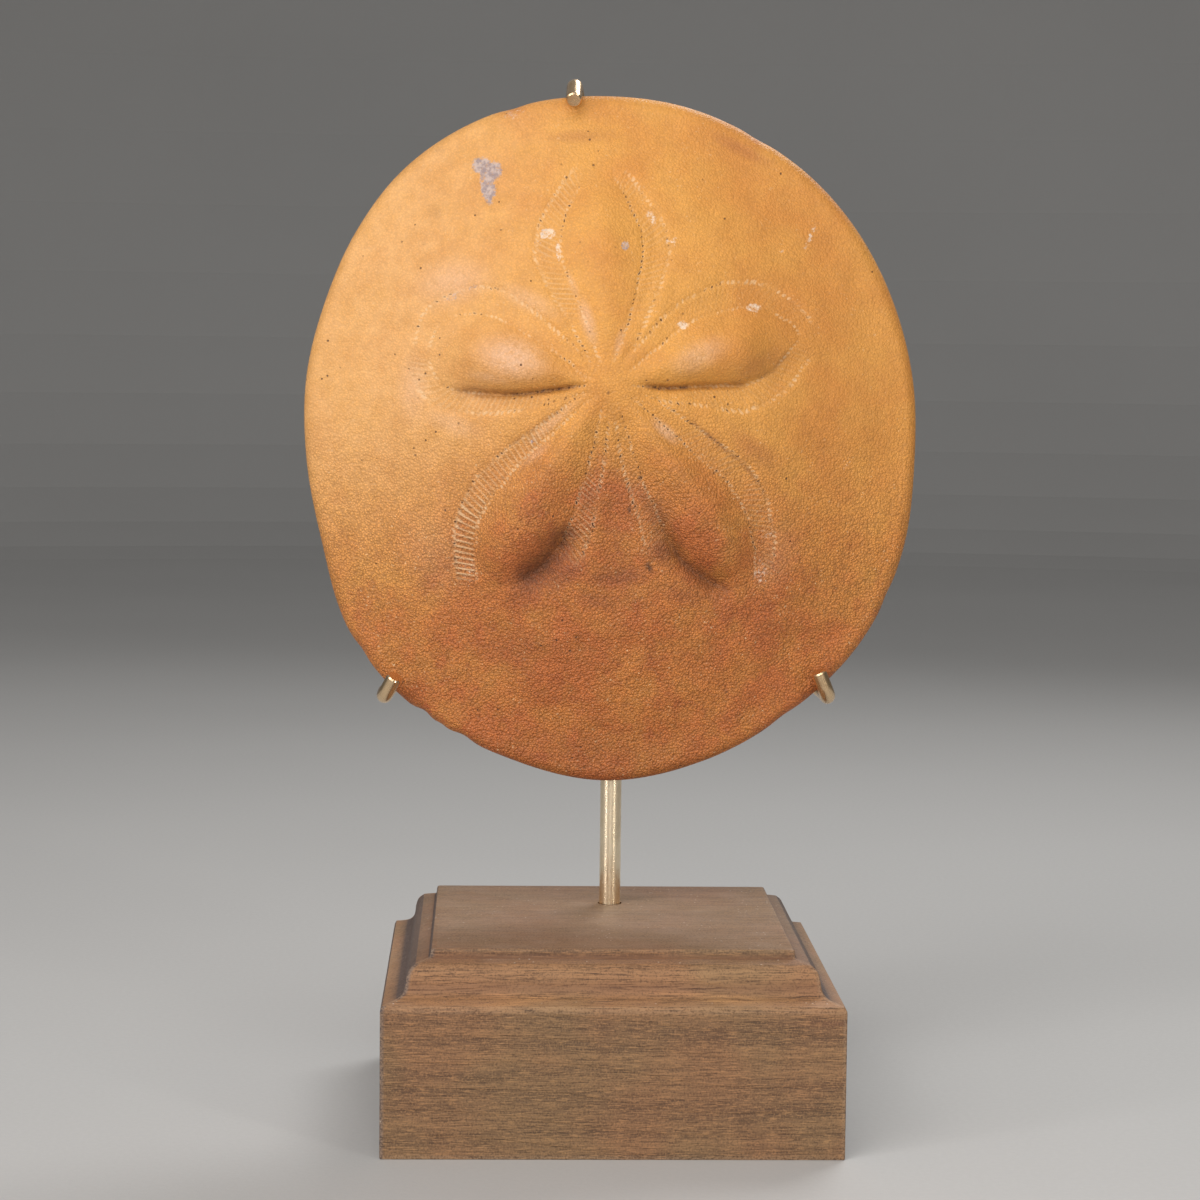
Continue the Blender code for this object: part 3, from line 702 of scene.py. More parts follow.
def wood_material():
    """Grey-brown stained wood with its grain along X, pale worn arrises and dark end grain."""
    g = Graph("stained_wood")
    x = g.split(g.place)
    z = x.other("Z")
    # Growth rings round a pith that lies behind and below the block, wavering along the grain
    ring_y = x.other("Y") - 0.115
    ring_z = z + 0.075
    waver = g.noise(9, 2, stretch=(0.6, 1.6, 1.6))
    radius = g.math("SQRT", ring_y * ring_y + ring_z * ring_z) + waver * 0.016
    growth = g.math("FRACT", radius / 0.0027)
    latewood = g.ramp(growth, 0.35, 0.95) * g.ramp(growth, 1.0, 0.96)
    band = g.noise(1, 3, 0.6, stretch=(11.0, 330.0, 330.0))
    fibre = g.noise(1, 3, 0.65, stretch=(120.0, 2600.0, 2600.0))
    dash = g.noise(1, 2, 0.6, stretch=(330.0, 3600.0, 3600.0))
    pore = g.noise(2300, 2, 0.6)
    facing = g.split(g.add("ShaderNodeNewGeometry", output="Normal"))
    upward = g.ramp(facing.other("Z"), 0.9, 0.99)
    end = g.attribute("end_grain") * (1.0 - upward)

    g.colour = g.mix(g.ramp(band, 0.38, 0.62), WOOD_MID, WOOD_PALE)
    g.layer(latewood * 0.16, WOOD_DARK)
    # Painted light: the table is paler than the sides, as lit from above
    g.layer(upward * 0.6, WOOD_TABLE_TOP_LIT)
    reddish = g.ramp(x, -0.01, 0.05) * g.ramp(band, 0.45, 0.3)
    g.layer(reddish * 0.5, WOOD_RED)
    # Golden streaks where the cutter passed through paler wood on the moulding
    on_moulding = g.ramp(z, 0.0318, 0.0335) * g.ramp(z, 0.0425, 0.0405)
    lens = g.noise(1, 2, 0.5, 0.3, stretch=(26.0, 300.0, 420.0))
    g.layer(on_moulding * g.ramp(lens, 0.6, 0.68) * 0.5, WOOD_GOLD)
    g.layer(on_moulding * 0.7, WOOD_GOLD)
    g.layer(g.attribute("golden") * g.ramp(fibre, 0.35, 0.6, 1.0, 0.6), STREAK_GOLD)
    showing = 1.0 - upward * 0.6 + on_moulding * 0.35
    g.layer(g.ramp(fibre, 0.44, 0.72, 0.0, 0.8) * showing, WOOD_DARK)
    g.layer(g.ramp(dash, 0.5, 0.68, 0.0, 0.85) * showing, WOOD_GOLD)
    g.layer(g.ramp(pore, 0.46, 0.34) * 0.5, WOOD_DARK)
    g.layer(g.ramp(pore, 0.54, 0.66) * 0.5, WOOD_GOLD)
    tint = g.mix(g.ramp(g.noise(38, 2), 0.35, 0.65), COOL_TINT, WARM_TINT)
    g.layer(1.0, tint, "MULTIPLY")
    # Painted light: the upward faces are made brighter
    g.shade(g.ramp(upward, 0.0, 1.0, 0.98, 1.2))
    g.layer(g.attribute("groove") * 0.6, WOOD_RED)

    end_colour = g.mix(g.ramp(pore, 0.4, 0.62), END_GRAIN, END_PALE)
    end_colour = g.mix(latewood * 0.3, end_colour, WOOD_DARK)
    g.layer(end * 0.92, end_colour)
    g.layer(g.attribute("wear") * g.ramp(pore, 0.35, 0.6) * 0.5, WORN_WOOD)
    # Specks of dust, and a thin film of dust and painted sheen on the table
    speck = g.ramp(g.cells(520), 0.13, 0.07) * g.ramp(g.noise(100, 1), 0.4, 0.55)
    settled = speck * g.math("MAXIMUM", upward, end * 0.6)
    g.layer(settled * 0.75, DUST)
    g.layer(upward * g.ramp(g.noise(150, 3), 0.3, 0.8, 0.03, 0.09), DUST)

    normal = g.bump(latewood * -0.4 - fibre, 0.12 * MM)
    return g.finish(
        Roughness=g.ramp(fibre, 0.3, 0.7, 0.5, 0.68),
        Normal=g.bump(dash, 0.06 * MM, normal),
        Specular_IOR_Level=0.35,
    )


def brass_material(name, tint, brown_share):
    """Satin brass, brushed along the rod, with brown tarnish in patches."""
    g = Graph(name)
    rod = g.attribute("rod_place", "Vector")
    brushed = g.noise(1, 3, 0.6, place=rod, stretch=(2600.0, 2600.0, 70.0))
    scratch = g.noise(1, 1, place=rod, stretch=(5200.0, 5200.0, 200.0))
    tarnish = g.noise(130, 4, 0.65)
    fine = g.noise(4200, 2, 0.6)
    g.colour = tint
    g.layer(g.ramp(tarnish, 0.42, 0.7) * brown_share, BRASS_BROWN)
    g.shade(g.ramp(brushed, 0.25, 0.75, 0.97, 1.02))
    g.layer(g.ramp(fine, 0.62, 0.75) * 0.35, BRASS_BROWN)
    return g.finish(
        Metallic=1.0,
        Roughness=g.ramp(tarnish, 0.3, 0.7, 0.2, 0.32) + g.ramp(scratch, 0.3, 0.7, -0.04, 0.06),
        Normal=g.bump(fine, 0.006 * MM, g.bump(brushed, 0.004 * MM)),
    )


def floor_material():
    g = Graph("studio_floor")
    grain = g.noise(700, 2, 0.6)
    g.colour = FLOOR
    g.shade(g.ramp(g.noise(3, 3), 0.2, 0.8, 0.97, 1.02))
    return g.finish(
        Roughness=g.ramp(grain, 0.3, 0.7, 0.6, 0.75),
        Normal=g.bump(grain, 0.05 * MM),
    )


# Small tools
def compass_vector(degrees):
    angle = math.radians(degrees)
    return math.sin(angle), math.cos(angle)


def bell(distance, width):
    return np.exp(-((distance / width) ** 2))


def ramp(value, start, end):
    return np.clip((value - start) / (end - start), 0, 1)


def smooth(value, start, end):
    t = ramp(value, start, end)
    return t * t * (3 - 2 * t)


def stretch(value, span):
    """Up from 0 to 1 between the first two values of the span, and down between the last two."""
    return ramp(value, *span[:2]) * (1 - ramp(value, *span[2:]))


def curve_point(p0, p1, p2, p3, t):
    """The place at t on the smooth curve from p1 to p2."""
    bend = 2 * p0 - 5 * p1 + 4 * p2 - p3 + (3 * (p1 - p2) + p3 - p0) * t
    return p1 + 0.5 * t * (p2 - p0 + t * bend)


def catmull_rom(points, steps):
    """Points on a smooth curve through the given ones."""
    points = [Vector(p) for p in points]
    made = []
    for i in range(len(points) - 1):
        near = [points[min(max(i + k, 0), len(points) - 1)] for k in (-1, 0, 1, 2)]
        made += [curve_point(*near, step / steps) for step in range(steps)]
    return [*made, points[-1]]


def line_length(line):
    return np.sqrt((np.diff(np.array(line), axis=0) ** 2).sum(-1)).sum()


def circle(count):
    """The cosine and sine of that many even steps round a circle."""
    angles = [2 * math.pi * k / count for k in range(count)]
    return [(math.cos(angle), math.sin(angle)) for angle in angles]


def placed(name, data):
    """A new object in the scene."""
    made = bpy.data.objects.new(name, data)
    bpy.context.scene.collection.objects.link(made)
    return made


def new_object(name, verts, faces, material, replaced, fields):
    """A visual of the body, with the shader's fields at its vertices."""
    mesh = bpy.data.meshes.new(name)
    mesh.from_pydata(np.array(verts).tolist(), [], faces)
    mesh.materials.append(material)
    mesh.shade_smooth()
    for key, values in fields.items():
        values = np.ascontiguousarray(values, np.float32)
        kind, part = ("FLOAT", "value") if values.ndim == 1 else ("FLOAT_VECTOR", "vector")
        attribute = mesh.attributes.new(key, kind, "POINT")
        attribute.data.foreach_set(part, values.ravel())
    made = placed(name, mesh)
    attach(made, "root")
    if replaced:
        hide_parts(replaced)
    return made


def lattice_noise(points, size, seed):
    """Smooth noise from -1 to 1 at each point."""
    shift = Vector((17.3, -41.9, 28.7)) * seed
    return np.array([noise.noise(Vector(p) + shift) for p in (points / size).tolist()])


def grid_faces(rings, columns):
    """Quads between rings of vertices, each ring closed."""
    ring = np.arange(rings - 1)[:, None] * columns
    column = np.arange(columns)[None, :]
    after = (column + 1) % columns
    corners = (ring + column, ring + after, ring + columns + after, ring + columns + column)
    return np.stack(corners, axis=-1).reshape(-1, 4)


def tube_faces(rings, columns):
    """The faces of a tube from its rings of vertices: its side, its first end and its last end."""
    last = (rings - 1) * columns
    ends = [list(range(columns))[::-1], list(range(last, last + columns))]
    return grid_faces(rings, columns).tolist() + ends


# Fossil
def rim_radius(compass):
    """The distance from the apex to the rim, on a smooth closed curve."""
    radii = np.array(RIM_RADII)
    count = len(radii)
    place = np.mod(compass, 360.0) / (360.0 / count)
    first = np.floor(place).astype(int) % count
    near = [radii[(first + i) % count] for i in (-1, 0, 1, 2)]
    return curve_point(*near, place - np.floor(place))


def inside_outline(across, up, outline):
    """Whether each point is inside the closed outline."""
    inside = np.zeros(across.shape, bool)
    for (x0, z0), (x1, z1) in zip(outline, np.roll(outline, -1, axis=0), strict=True):
        if z0 == z1:
            continue
        crosses = (up < z0) != (up < z1)
        inside ^= crosses & (across < x0 + (up - z0) * (x1 - x0) / (z1 - z0))
    return inside


def nearest_on_line(across, up, line):
    """(distance to the line through the points, how far along the line that is)."""
    line = np.array(line)
    start, step = line[:-1], np.diff(line, axis=0)
    square = np.maximum((step**2).sum(-1), 1e-9)
    lengths = np.sqrt(square)
    before = np.concatenate([[0], np.cumsum(lengths)[:-1]])
    distances, places = [], []
    points = np.stack([across, up], axis=-1)
    for block in np.array_split(points, max(1, len(points) // 8000)):
        share = ((block[:, None] - start) * step).sum(-1) / square
        share = np.clip(share, 0, 1)
        gap = block[:, None] - (start + share[..., None] * step)
        distance = (gap**2).sum(-1)
        nearest = distance.argmin(1)
        rows = np.arange(len(block))
        distances.append(np.sqrt(distance[rows, nearest]))
        places.append(before[nearest] + share[rows, nearest] * lengths[nearest])
    return np.concatenate(distances), np.concatenate(places)


def zone_profile(side, share):
    """The width of the pore zone at that share of the way to the petal's tip."""
    return np.interp(share, (0, WIDEST_SHARE, 1), side.zone)


def petal_fields(across, up):
    """The relief of the petals, and where each point lies in the nearest pore zone."""
    relief = np.zeros_like(across)
    nearest = np.full_like(across, 1e3)
    names = ("zone_mm", "row_mm", "pores", "comb", "dark_inner", "dark_outer")
    fields = {name: np.zeros_like(across) for name in names}
    fields["zone_width"] = np.full_like(across, PORE_ZONE_WIDTH)
    for petal in PETALS:
        sides = (petal.clockwise, petal.anticlockwise)
        rows = [np.array([tuple(p) for p in catmull_rom(side.row, ROW_STEPS)]) for side in sides]
        lengths = [line_length(row) for row in rows]
        nearby = [nearest_on_line(across, up, row) for row in rows]
        (first, first_place), (second, second_place) = nearby
        inside = inside_outline(across, up, np.concatenate([rows[0], rows[1][::-1]]))
        clockwise = first < second
        to_row = np.where(clockwise, first, second)
        both = np.maximum(first + second, 1e-6)
        first_share, second_share = first_place / lengths[0], second_place / lengths[1]
        sine, cosine = compass_vector(petal.compass)
        tip = max((row @ (sine, cosine)).max() for row in rows)
        along = (across * sine + up * cosine) / tip

        def by_side(values):
            return np.where(clockwise, *values)

        def of_side(name):
            return by_side([getattr(side, name) for side in sides])

        # The swollen part, highest along its crest
        across_share = first / both
        before_crest = across_share < petal.crest
        after = (1 - across_share) / (1 - petal.crest)
        depth_in = np.where(before_crest, across_share / petal.crest, after)
        gentle = depth_in**2 * (3 - 2 * depth_in)
        steep = 1 - (1 - depth_in) ** 2
        flank = np.where(before_crest, petal.clockwise.flank, petal.anticlockwise.flank)
        eased = 1 - FLANK_EASE * smooth(along, *FLANK_EASE_SPAN)
        flank = flank * smooth(along, *petal.steepens) * eased
        swelling = gentle + (steep - gentle) * flank
        swelling *= smooth(along, *SWELLING_STARTS) * (1 - smooth(along, *petal.fades))
        widest = both[inside].max()
        relief += np.where(inside, petal.bulge * swelling * both / widest, 0)

        # The pore zones on both sides of it
        share = by_side((first_share, second_share))
        zone = by_side([zone_profile(side, share) for side in sides])
        reaches = of_side("reaches")
        stops = 1 - ramp(share, reaches - PORES_STOP, reaches)
        pores = ramp(share, *PORES_START) * stops
        trough = stretch(share, ZONE_TROUGH_SPAN) * stops
        trough = trough * bell(to_row - zone / 2, PORE_TROUGH_WIDTH * zone)
        outer_furrow = bell(to_row - zone, FURROW_WIDTH) * pores
        relief -= np.where(inside, 0, PORE_ZONE_DEPTH * trough + FURROW_DEPTH * outer_furrow)
        relief -= FURROW_DEPTH * ramp(share, *PORES_START) * bell(to_row, FURROW_WIDTH)
        signed = np.where(inside, -to_row, to_row)
        closest = signed < nearest
        contest = smooth(np.abs(signed - nearest), *CONTEST)
        slant = of_side("slant")
        combs = of_side("combs")
        values = {
            "zone_mm": signed,
            "zone_width": zone,
            "row_mm": by_side((first_place, second_place)) + slant * signed,
            "pores": pores * contest,
            "comb": ramp(share, *COMBS_START) * stops * combs * contest,
            "dark_inner": by_side([side.dark[0] for side in sides]),
            "dark_outer": by_side([side.dark[1] for side in sides]),
        }
        for name in ("pores", "comb"):
            fields[name] = fields[name] * contest
        for name, value in values.items():
            fields[name] = np.where(closest, value, fields[name])
        nearest = np.where(closest, signed, nearest)
    return relief, fields


def line_fade(place, line, shares):
    """1 along a line, fading to 0 over the first and the last share of its length."""
    length = line_length(line)
    return smooth(place, 0, shares[0] * length) * (1 - smooth(place, (1 - shares[1]) * length, length))


def spots(across, up, marks, starts, ends):
    """Soft-edged oval marks, the strongest at each point."""
    total = np.zeros_like(across)
    for centre_across, centre_up, length, width, turn, strength in marks:
        cosine, sine = math.cos(math.radians(turn)), math.sin(math.radians(turn))
        x, z = across - centre_across, up - centre_up
        reach = np.hypot((x * cosine + z * sine) / length, (z * cosine - x * sine) / width)
        total = np.maximum(total, strength * (1 - smooth(reach, starts, ends)))
    return total


def front_surface(across, up, share):
    """(height of the upper side, the shader's fields there)."""
    relief, fields = petal_fields(across, up)
    height = DOME_HEIGHT * np.clip(1 - share**2, 0, 1) ** DOME_POWER + relief
    height += APICAL_BOSS_HEIGHT * bell(np.hypot(across, up), APICAL_BOSS_WIDTH)
    for line, depth, width, cut_depth, cut_width, ends in FOLDS:
        distance, place = nearest_on_line(across, up, line)
        fold = depth * bell(distance, width) + cut_depth * bell(distance, cut_width)
        height -= line_fade(place, line, ends) * fold
    # Darkening along the folds and in the valley between the lower petals: dirt and painted shade
    hollow = np.zeros_like(across)
    for line, width, strength in DIRT_AND_SHADE_LINES:
        distance, place = nearest_on_line(across, up, line)
        darkening = strength * line_fade(place, line, DARKENING_LINE_ENDS) * bell(distance, width)
        hollow = np.maximum(hollow, darkening)
    sine, cosine = compass_vector(REAR_VALLEY_COMPASS)
    along = across * sine + up * cosine
    valley = stretch(along, REAR_VALLEY_SPAN) * bell(across * cosine - up * sine, REAR_VALLEY_WIDTH)
    height -= REAR_VALLEY_DEPTH * valley
    hollow = np.maximum(hollow, REAR_VALLEY_PAINTED_SHADE * valley)
    fields["hollow"] = hollow
    from_apex = np.hypot(across, up)
    fields["near_apex"] = APEX_DARK * (1 - smooth(from_apex, *APEX_DARK_SPAN))
    fields["pores"] = fields["pores"] * smooth(from_apex, *APEX_BARE)
    for name, marks in MARKS.items():
        fields[name] = spots(across, up, *marks)
    return height, fields


def back_surface(across, up, share):
    """(hollow of the underside, how much darker its mouth, grooves and vent are drawn)."""
    reach = np.hypot(across, up)
    compass = np.degrees(np.arctan2(across, up))
    lobes = 1 + MOUTH_LOBES * np.cos(np.radians(len(PETALS) * (compass - PETALS[0].compass)))
    mouth = np.clip(1 - (reach / (MOUTH_RADIUS * lobes)) ** 2, 0, 1) ** MOUTH_STEEPNESS
    hollow = BACK_HOLLOW * (1 - share**2) + MOUTH_DEPTH * mouth
    darkening = MOUTH_DARKENING * smooth(mouth, 0.0, 0.8)
    for petal in PETALS:
        sine, cosine = compass_vector(petal.compass)
        ahead = across * sine + up * cosine > 0
        groove = bell(across * cosine - up * sine, FOOD_GROOVE_WIDTH)
        groove = np.where(ahead, groove * (1 - ramp(share, *FOOD_GROOVE_FADE)), 0)
        hollow += FOOD_GROOVE_DEPTH * groove
        darkening = np.maximum(darkening, FOOD_GROOVE_DARKENING * groove**2)
    sine, cosine = compass_vector(VENT_COMPASS)
    vent_reach = float(rim_radius(np.array(VENT_COMPASS))) - VENT_INSET
    from_vent = np.hypot(across - vent_reach * sine, up - vent_reach * cosine)
    vent = 1 - smooth(from_vent, VENT_FLOOR, VENT_RADIUS)
    return hollow + VENT_DEPTH * vent, np.maximum(darkening, VENT_DARKENING * vent)


def rise(value, plan):
    """Up from 0 to the strength, from the start to the end."""
    strength, start, end = plan
    return strength * smooth(value, start, end)


def cloud(across, up, plan):
    """A soft oval patch with that strength, middle and size."""
    strength, centre_across, centre_up, half_across, half_up = plan
    reach = np.hypot((across - centre_across) / half_across, (up - centre_up) / half_up)
    return strength * bell(reach, 1.0)


def ring_plan():
    """(share of the way to where the edge begins, turn of the edge) of the rings from apex to mouth."""
    field = np.linspace(0, FIELD_SHARE, FIELD_RINGS + 1)[1:]
    margin = np.linspace(FIELD_SHARE, 1, MARGIN_RINGS + 1)[1:]
    turns = np.linspace(0, np.pi, EDGE_RINGS + 1)[1:]
    back = np.linspace(1, 0, BACK_RINGS + 1)[1:-1] ** BACK_RING_POWER
    shares = np.concatenate([field, margin, np.ones(EDGE_RINGS), back])
    turn = np.concatenate([np.zeros(FIELD_RINGS + MARGIN_RINGS), turns, np.full(len(back), np.pi)])
    return shares, turn


def build_fossil(material):
    shares, turns = ring_plan()
    # The apex and the middle of the mouth are single vertices at the two ends
    share_in = np.pad(np.repeat(shares, SEGMENTS), 1)
    turn = np.pad(np.repeat(turns, SEGMENTS), 1, constant_values=(0, np.pi))
    compass = np.pad(np.tile(np.arange(SEGMENTS) * 360.0 / SEGMENTS, len(shares)), 1)
    radius = rim_radius(compass)

    reach = share_in * (radius - RIM_ROUNDING) + RIM_ROUNDING * np.sin(turn) * (turn > 0)
    near_rim = smooth(reach / radius, 1 - CHIP_REACH, 1)
    chipped = np.zeros_like(reach)
    for angle, half_width, depth in RIM_CHIPS:
        off = (compass - angle + 180) % 360 - 180
        bite = bell(off, half_width) * near_rim
        reach -= depth * bite
        chipped = np.maximum(chipped, bite * depth)
    across = reach * np.sin(np.radians(compass))
    up = reach * np.cos(np.radians(compass))
    share = reach / radius
    front = turn < np.pi / 2
    facing = RIM_HALF_THICKNESS * np.cos(turn)
    heights, front_fields = front_surface(across[front], up[front], share[front])
    hollows, darkening = back_surface(across[~front], up[~front], share[~front])
    facing[front] += heights
    facing[~front] += hollows

    lower = smooth(-up, *LOWER_PART)
    flat = np.stack([across, facing, up], axis=1)
    for seed, (size, upper_height, lower_height) in enumerate(UNEVENNESS, start=1):
        wave = lattice_noise(flat, size, seed)
        amount = upper_height + (lower_height - upper_height) * lower
        facing += wave * amount * (1 - RIM_SMOOTHER * near_rim)
    verts = np.stack([APEX_X + across * MM, RIM_Y - facing * MM, APEX_Z + up * MM], axis=1)

    first_ring = np.arange(SEGMENTS) + 1
    last_ring = first_ring + (len(shares) - 1) * SEGMENTS
    apex_fan = [(0, b, a) for a, b in zip(first_ring, np.roll(first_ring, -1))]
    mouth_fan = [(len(verts) - 1, a, b) for a, b in zip(last_ring, np.roll(last_ring, -1))]
    faces = (grid_faces(len(shares), SEGMENTS) + 1).tolist() + apex_fan + mouth_fan

    fields = {name: np.zeros(len(verts)) for name in front_fields}
    for name, values in front_fields.items():
        fields[name][front] = values
    fields["zone_width"][~front] = PORE_ZONE_WIDTH
    fields["zone_mm"][~front] = 3 * PORE_ZONE_WIDTH
    fields["hollow"][~front] = darkening
    # Rust, partly painted shade, from the middle down and round the hollow between the lower petals;
    # painted pinkish sheen at the upper left
    sides = 1 - rise(np.abs(across), RUST_SIDES) * (1 - smooth(-up, *RUST_SIDES_END))
    rust_and_shade = rise(-up, RUST_AND_SHADE_DOWN) * sides + cloud(across, up, RUST_AND_SHADE_HOLLOW) + rise(across, RUST_RIGHT)
    rough = ROUGH_LEAST + rise(-up, ROUGH_DOWN) + cloud(across, up, ROUGH_HOLLOW)
    fields["rust_and_shade"] = np.clip(rust_and_shade, 0, 1)
    fields["pink_sheen"] = rise(-across, PINK_SHEEN) * smooth(up, *PINK_SHEEN_UP)
    fields["rough"] = np.clip(rough, 0, 1)
    fields["chipped"] = np.clip(chipped * CHIPPED_FACTOR, 0, 1)
    new_object(
        "sea_urchin_test", verts, faces, material, "fossil_urchin", fields
    )


# Wooden block
def block_profile():
    """(inset, height, worn, in a groove) in millimetres, from the underside up to the table."""
    steps = [Vector((inset, BASE_HEIGHT - depth)) for inset, depth in MOULDING_STEPS]
    lip = steps[0].y
    first, last = CURVED_STEPS
    rows = [
        (ARRIS + 2 * WORN_BAND, 0.0, 0, 0),
        (ARRIS, 0.0, 1, 0),
        (0.15 * ARRIS, 0.15 * ARRIS, 1, 0),
        (0.0, ARRIS, 1, 0),
        (0.0, ARRIS + WORN_BAND, 0, 0),
        (0.0, lip - WORN_BAND, 0, 0),
        (0.0, lip - 0.3, 0.4, 0),
        (0.06, lip + 0.25, 0.45, 0),
    ]
    curve = catmull_rom(steps[first:last], CURVE_POINTS)
    for point in curve:
        depth = BASE_HEIGHT - point.y
        worn = 0.5 - 0.5 * ramp(point.x, 0.4, 1.4) + 0.3 * bell(depth - 3.3, 1.0)
        groove = 0.7 * bell(depth - 7.6, 1.6)
        rows.append((point.x, point.y, float(worn), float(groove)))
    foot, riser, crown, table = (steps[i] for i in (last, last + 1, last + 2, last + 3))
    rows += [
        (foot.x - 0.4, foot.y, 0, 0.6),
        (foot.x, foot.y, 0, 1),
        (riser.x, riser.y + 0.15, 0, 1),
        (crown.x, crown.y - 0.4, 0, 0.2),
        (crown.x, crown.y, 0.4, 0),
        (crown.x + 0.15, BASE_HEIGHT - 0.12, 0.5, 0),
        (table.x, table.y, 0.4, 0),
        (table.x + WORN_BAND, table.y, 0, 0),
    ]
    return rows


def square_ring(half):
    """(x, y, how near a corner, on end grain) round a square with small rounded corners."""
    straight = half - CORNER_RADIUS
    inner = np.linspace(-straight + 2 * WORN_BAND, straight - 2 * WORN_BAND, SIDE_SEGMENTS + 1)
    offsets = np.concatenate([[-straight + WORN_BAND], inner, [straight - WORN_BAND]])
    side = [(x, -half, 0.0) for x in offsets]
    arc = []
    for step in range(CORNER_SEGMENTS + 1):
        angle = math.pi / 2 * step / CORNER_SEGMENTS
        x = straight + CORNER_RADIUS * math.sin(angle)
        y = -straight - CORNER_RADIUS * math.cos(angle)
        arc.append((x, y, 1.0))
    quarter = side + arc
    points = []
    for turn, (cosine, sine) in enumerate(((1, 0), (0, 1), (-1, 0), (0, -1))):
        for x, y, near in quarter:
            points.append((x * cosine - y * sine, x * sine + y * cosine, near, turn % 2))
    return points


def build_block(material):
    rows = block_profile()
    verts, wear, grooves, ends = [], [], [], []
    for inset, height, worn, groove in rows:
        for x, y, near_corner, end in square_ring(BASE_SIDE / 2 - inset):
            verts.append((x, y, height))
            wear.append(max(worn, near_corner * (0.2 + 0.8 * (height > 0))))
            grooves.append(groove)
            ends.append(end)
    verts = np.array(verts)
    wear = np.array(wear)
    # Small knocks and unevenness along the arrises
    for seed, (size, depth) in enumerate(KNOCKS, start=11):
        dent = np.clip(lattice_noise(verts, size, seed), -0.2, 1) * depth * np.clip(wear, 0, 1)
        verts[:, 0] -= dent * np.sign(verts[:, 0]) * (np.abs(verts[:, 0]) > BASE_SIDE / 3)
        verts[:, 1] -= dent * np.sign(verts[:, 1]) * (np.abs(verts[:, 1]) > BASE_SIDE / 3)
    streaks = spots(verts[:, 0], verts[:, 2], GOLDEN_STREAKS, *MARK_EDGE)
    fields = {
        "wear": wear,
        "groove": grooves,
        "end_grain": ends,
        "golden": streaks * (verts[:, 1] < -BASE_SIDE / 3),
    }
    faces = tube_faces(len(rows), len(verts) // len(rows))
    block = new_object(
        "wooden_block", verts * MM, faces, material, "wood_base", fields
    )

    bm = bmesh.new()
    top = BASE_HEIGHT + CUTTER_OVERHANG
    bottom = BASE_HEIGHT - HOLE_DEPTH
    bmesh.ops.create_cone(
        bm,
        cap_ends=True,
        segments=HOLE_SIDES,
        radius1=HOLE_RADIUS * MM,
        radius2=HOLE_RADIUS * MM,
        depth=(top - bottom) * MM,
        matrix=Matrix.Translation((STEM_X, STEM_Y, (top + bottom) / 2 * MM)),
    )
    cutter_mesh = bpy.data.meshes.new("stem_hole")
    bm.to_mesh(cutter_mesh)
    bm.free()
    cutter = placed("stem_hole", cutter_mesh)
    hole = block.modifiers.new("stem hole", "BOOLEAN")
    hole.operation = "DIFFERENCE"
    hole.object = cutter
    bake_modifiers(block)
    bpy.data.objects.remove(cutter)
    smooth_flats(block, WOOD_CREASE)


def bake_modifiers(made):
    """Puts the result of the modifiers into the mesh."""
    graph = bpy.context.evaluated_depsgraph_get()
    mesh = bpy.data.meshes.new_from_object(made.evaluated_get(graph))
    made.modifiers.clear()
    made.data = mesh


def smooth_flats(made, crease):
    """Smooth curves, sharp corners, and flat faces that stay flat."""
    made.data.shade_smooth()
    made.data.set_sharp_from_angle(angle=math.radians(crease))
    weighted = made.modifiers.new("flats", "WEIGHTED_NORMAL")
    weighted.keep_sharp = True
    bake_modifiers(made)


# Brass rods
def bent_rod_points(corners, bends):
    """Points along straight runs joined by arcs, one bend radius for each inner corner."""
    points = [corners[0]]
    for before, corner, after, bend in zip(corners, corners[1:], corners[2:], bends, strict=False):
        into = (corner - before).normalized()
        out = (after - corner).normalized()
        turn = into.angle(out)
        tangent = bend * math.tan(turn / 2)
        inward = (out - into).normalized()
        centre = corner + inward * math.hypot(bend, tangent)
        start = corner - into * tangent - centre
        axis = into.cross(out).normalized()
        steps = max(2, math.ceil(math.degrees(turn) / BEND_STEP_DEGREES))
        for step in range(steps + 1):
            angle = turn * step / steps
            swung = start * math.cos(angle) + axis.cross(start) * math.sin(angle)
            points.append(centre + swung)
    points.append(corners[-1])
    return points


def filled_in(points, step):
    """The same line with no two points further apart than the step."""
    made = [points[0]]
    for before, after in zip(points, points[1:]):
        count = max(1, math.ceil((after - before).length / step))
        made += [before.lerp(after, (i + 1) / count) for i in range(count)]
    return made


def build_rod(name, corners, bends, radius, bevel, material, replaced):
    """A round rod along the bent line, with filed ends, and each point's place in the straight rod."""
    path = filled_in(bent_rod_points(corners, bends), ROD_STEP)
    ends = ((path[0], path[1]), (path[-1], path[-2]))
    starts = [end + (inner - end).normalized() * bevel for end, inner in ends]
    path = [path[0], starts[0], *path[1:-1], starts[1], path[-1]]
    radii = [radius - bevel, *[radius] * (len(path) - 2), radius - bevel]
    tangent = (path[2] - path[0]).normalized()
    side = tangent.orthogonal().normalized()
    verts, places = [], []
    travelled = 0.0
    for i, (point, size) in enumerate(zip(path, radii, strict=True)):
        before = path[max(i - 1, 0)]
        after = path[min(i + 1, len(path) - 1)]
        new_tangent = (after - before).normalized()
        side = tangent.rotation_difference(new_tangent) @ side
        tangent = new_tangent
        other = tangent.cross(side)
        travelled += (point - before).length
        for cosine, sine in circle(ROD_SIDES):
            x, y = cosine * size, sine * size
            verts.append(point + side * x + other * y)
            places.append((x, y, travelled))
    faces = tube_faces(len(path), ROD_SIDES)
    fields = {"rod_place": places}
    rod = new_object(name, verts, faces, material, replaced, fields)
    smooth_flats(rod, BRASS_CREASE)


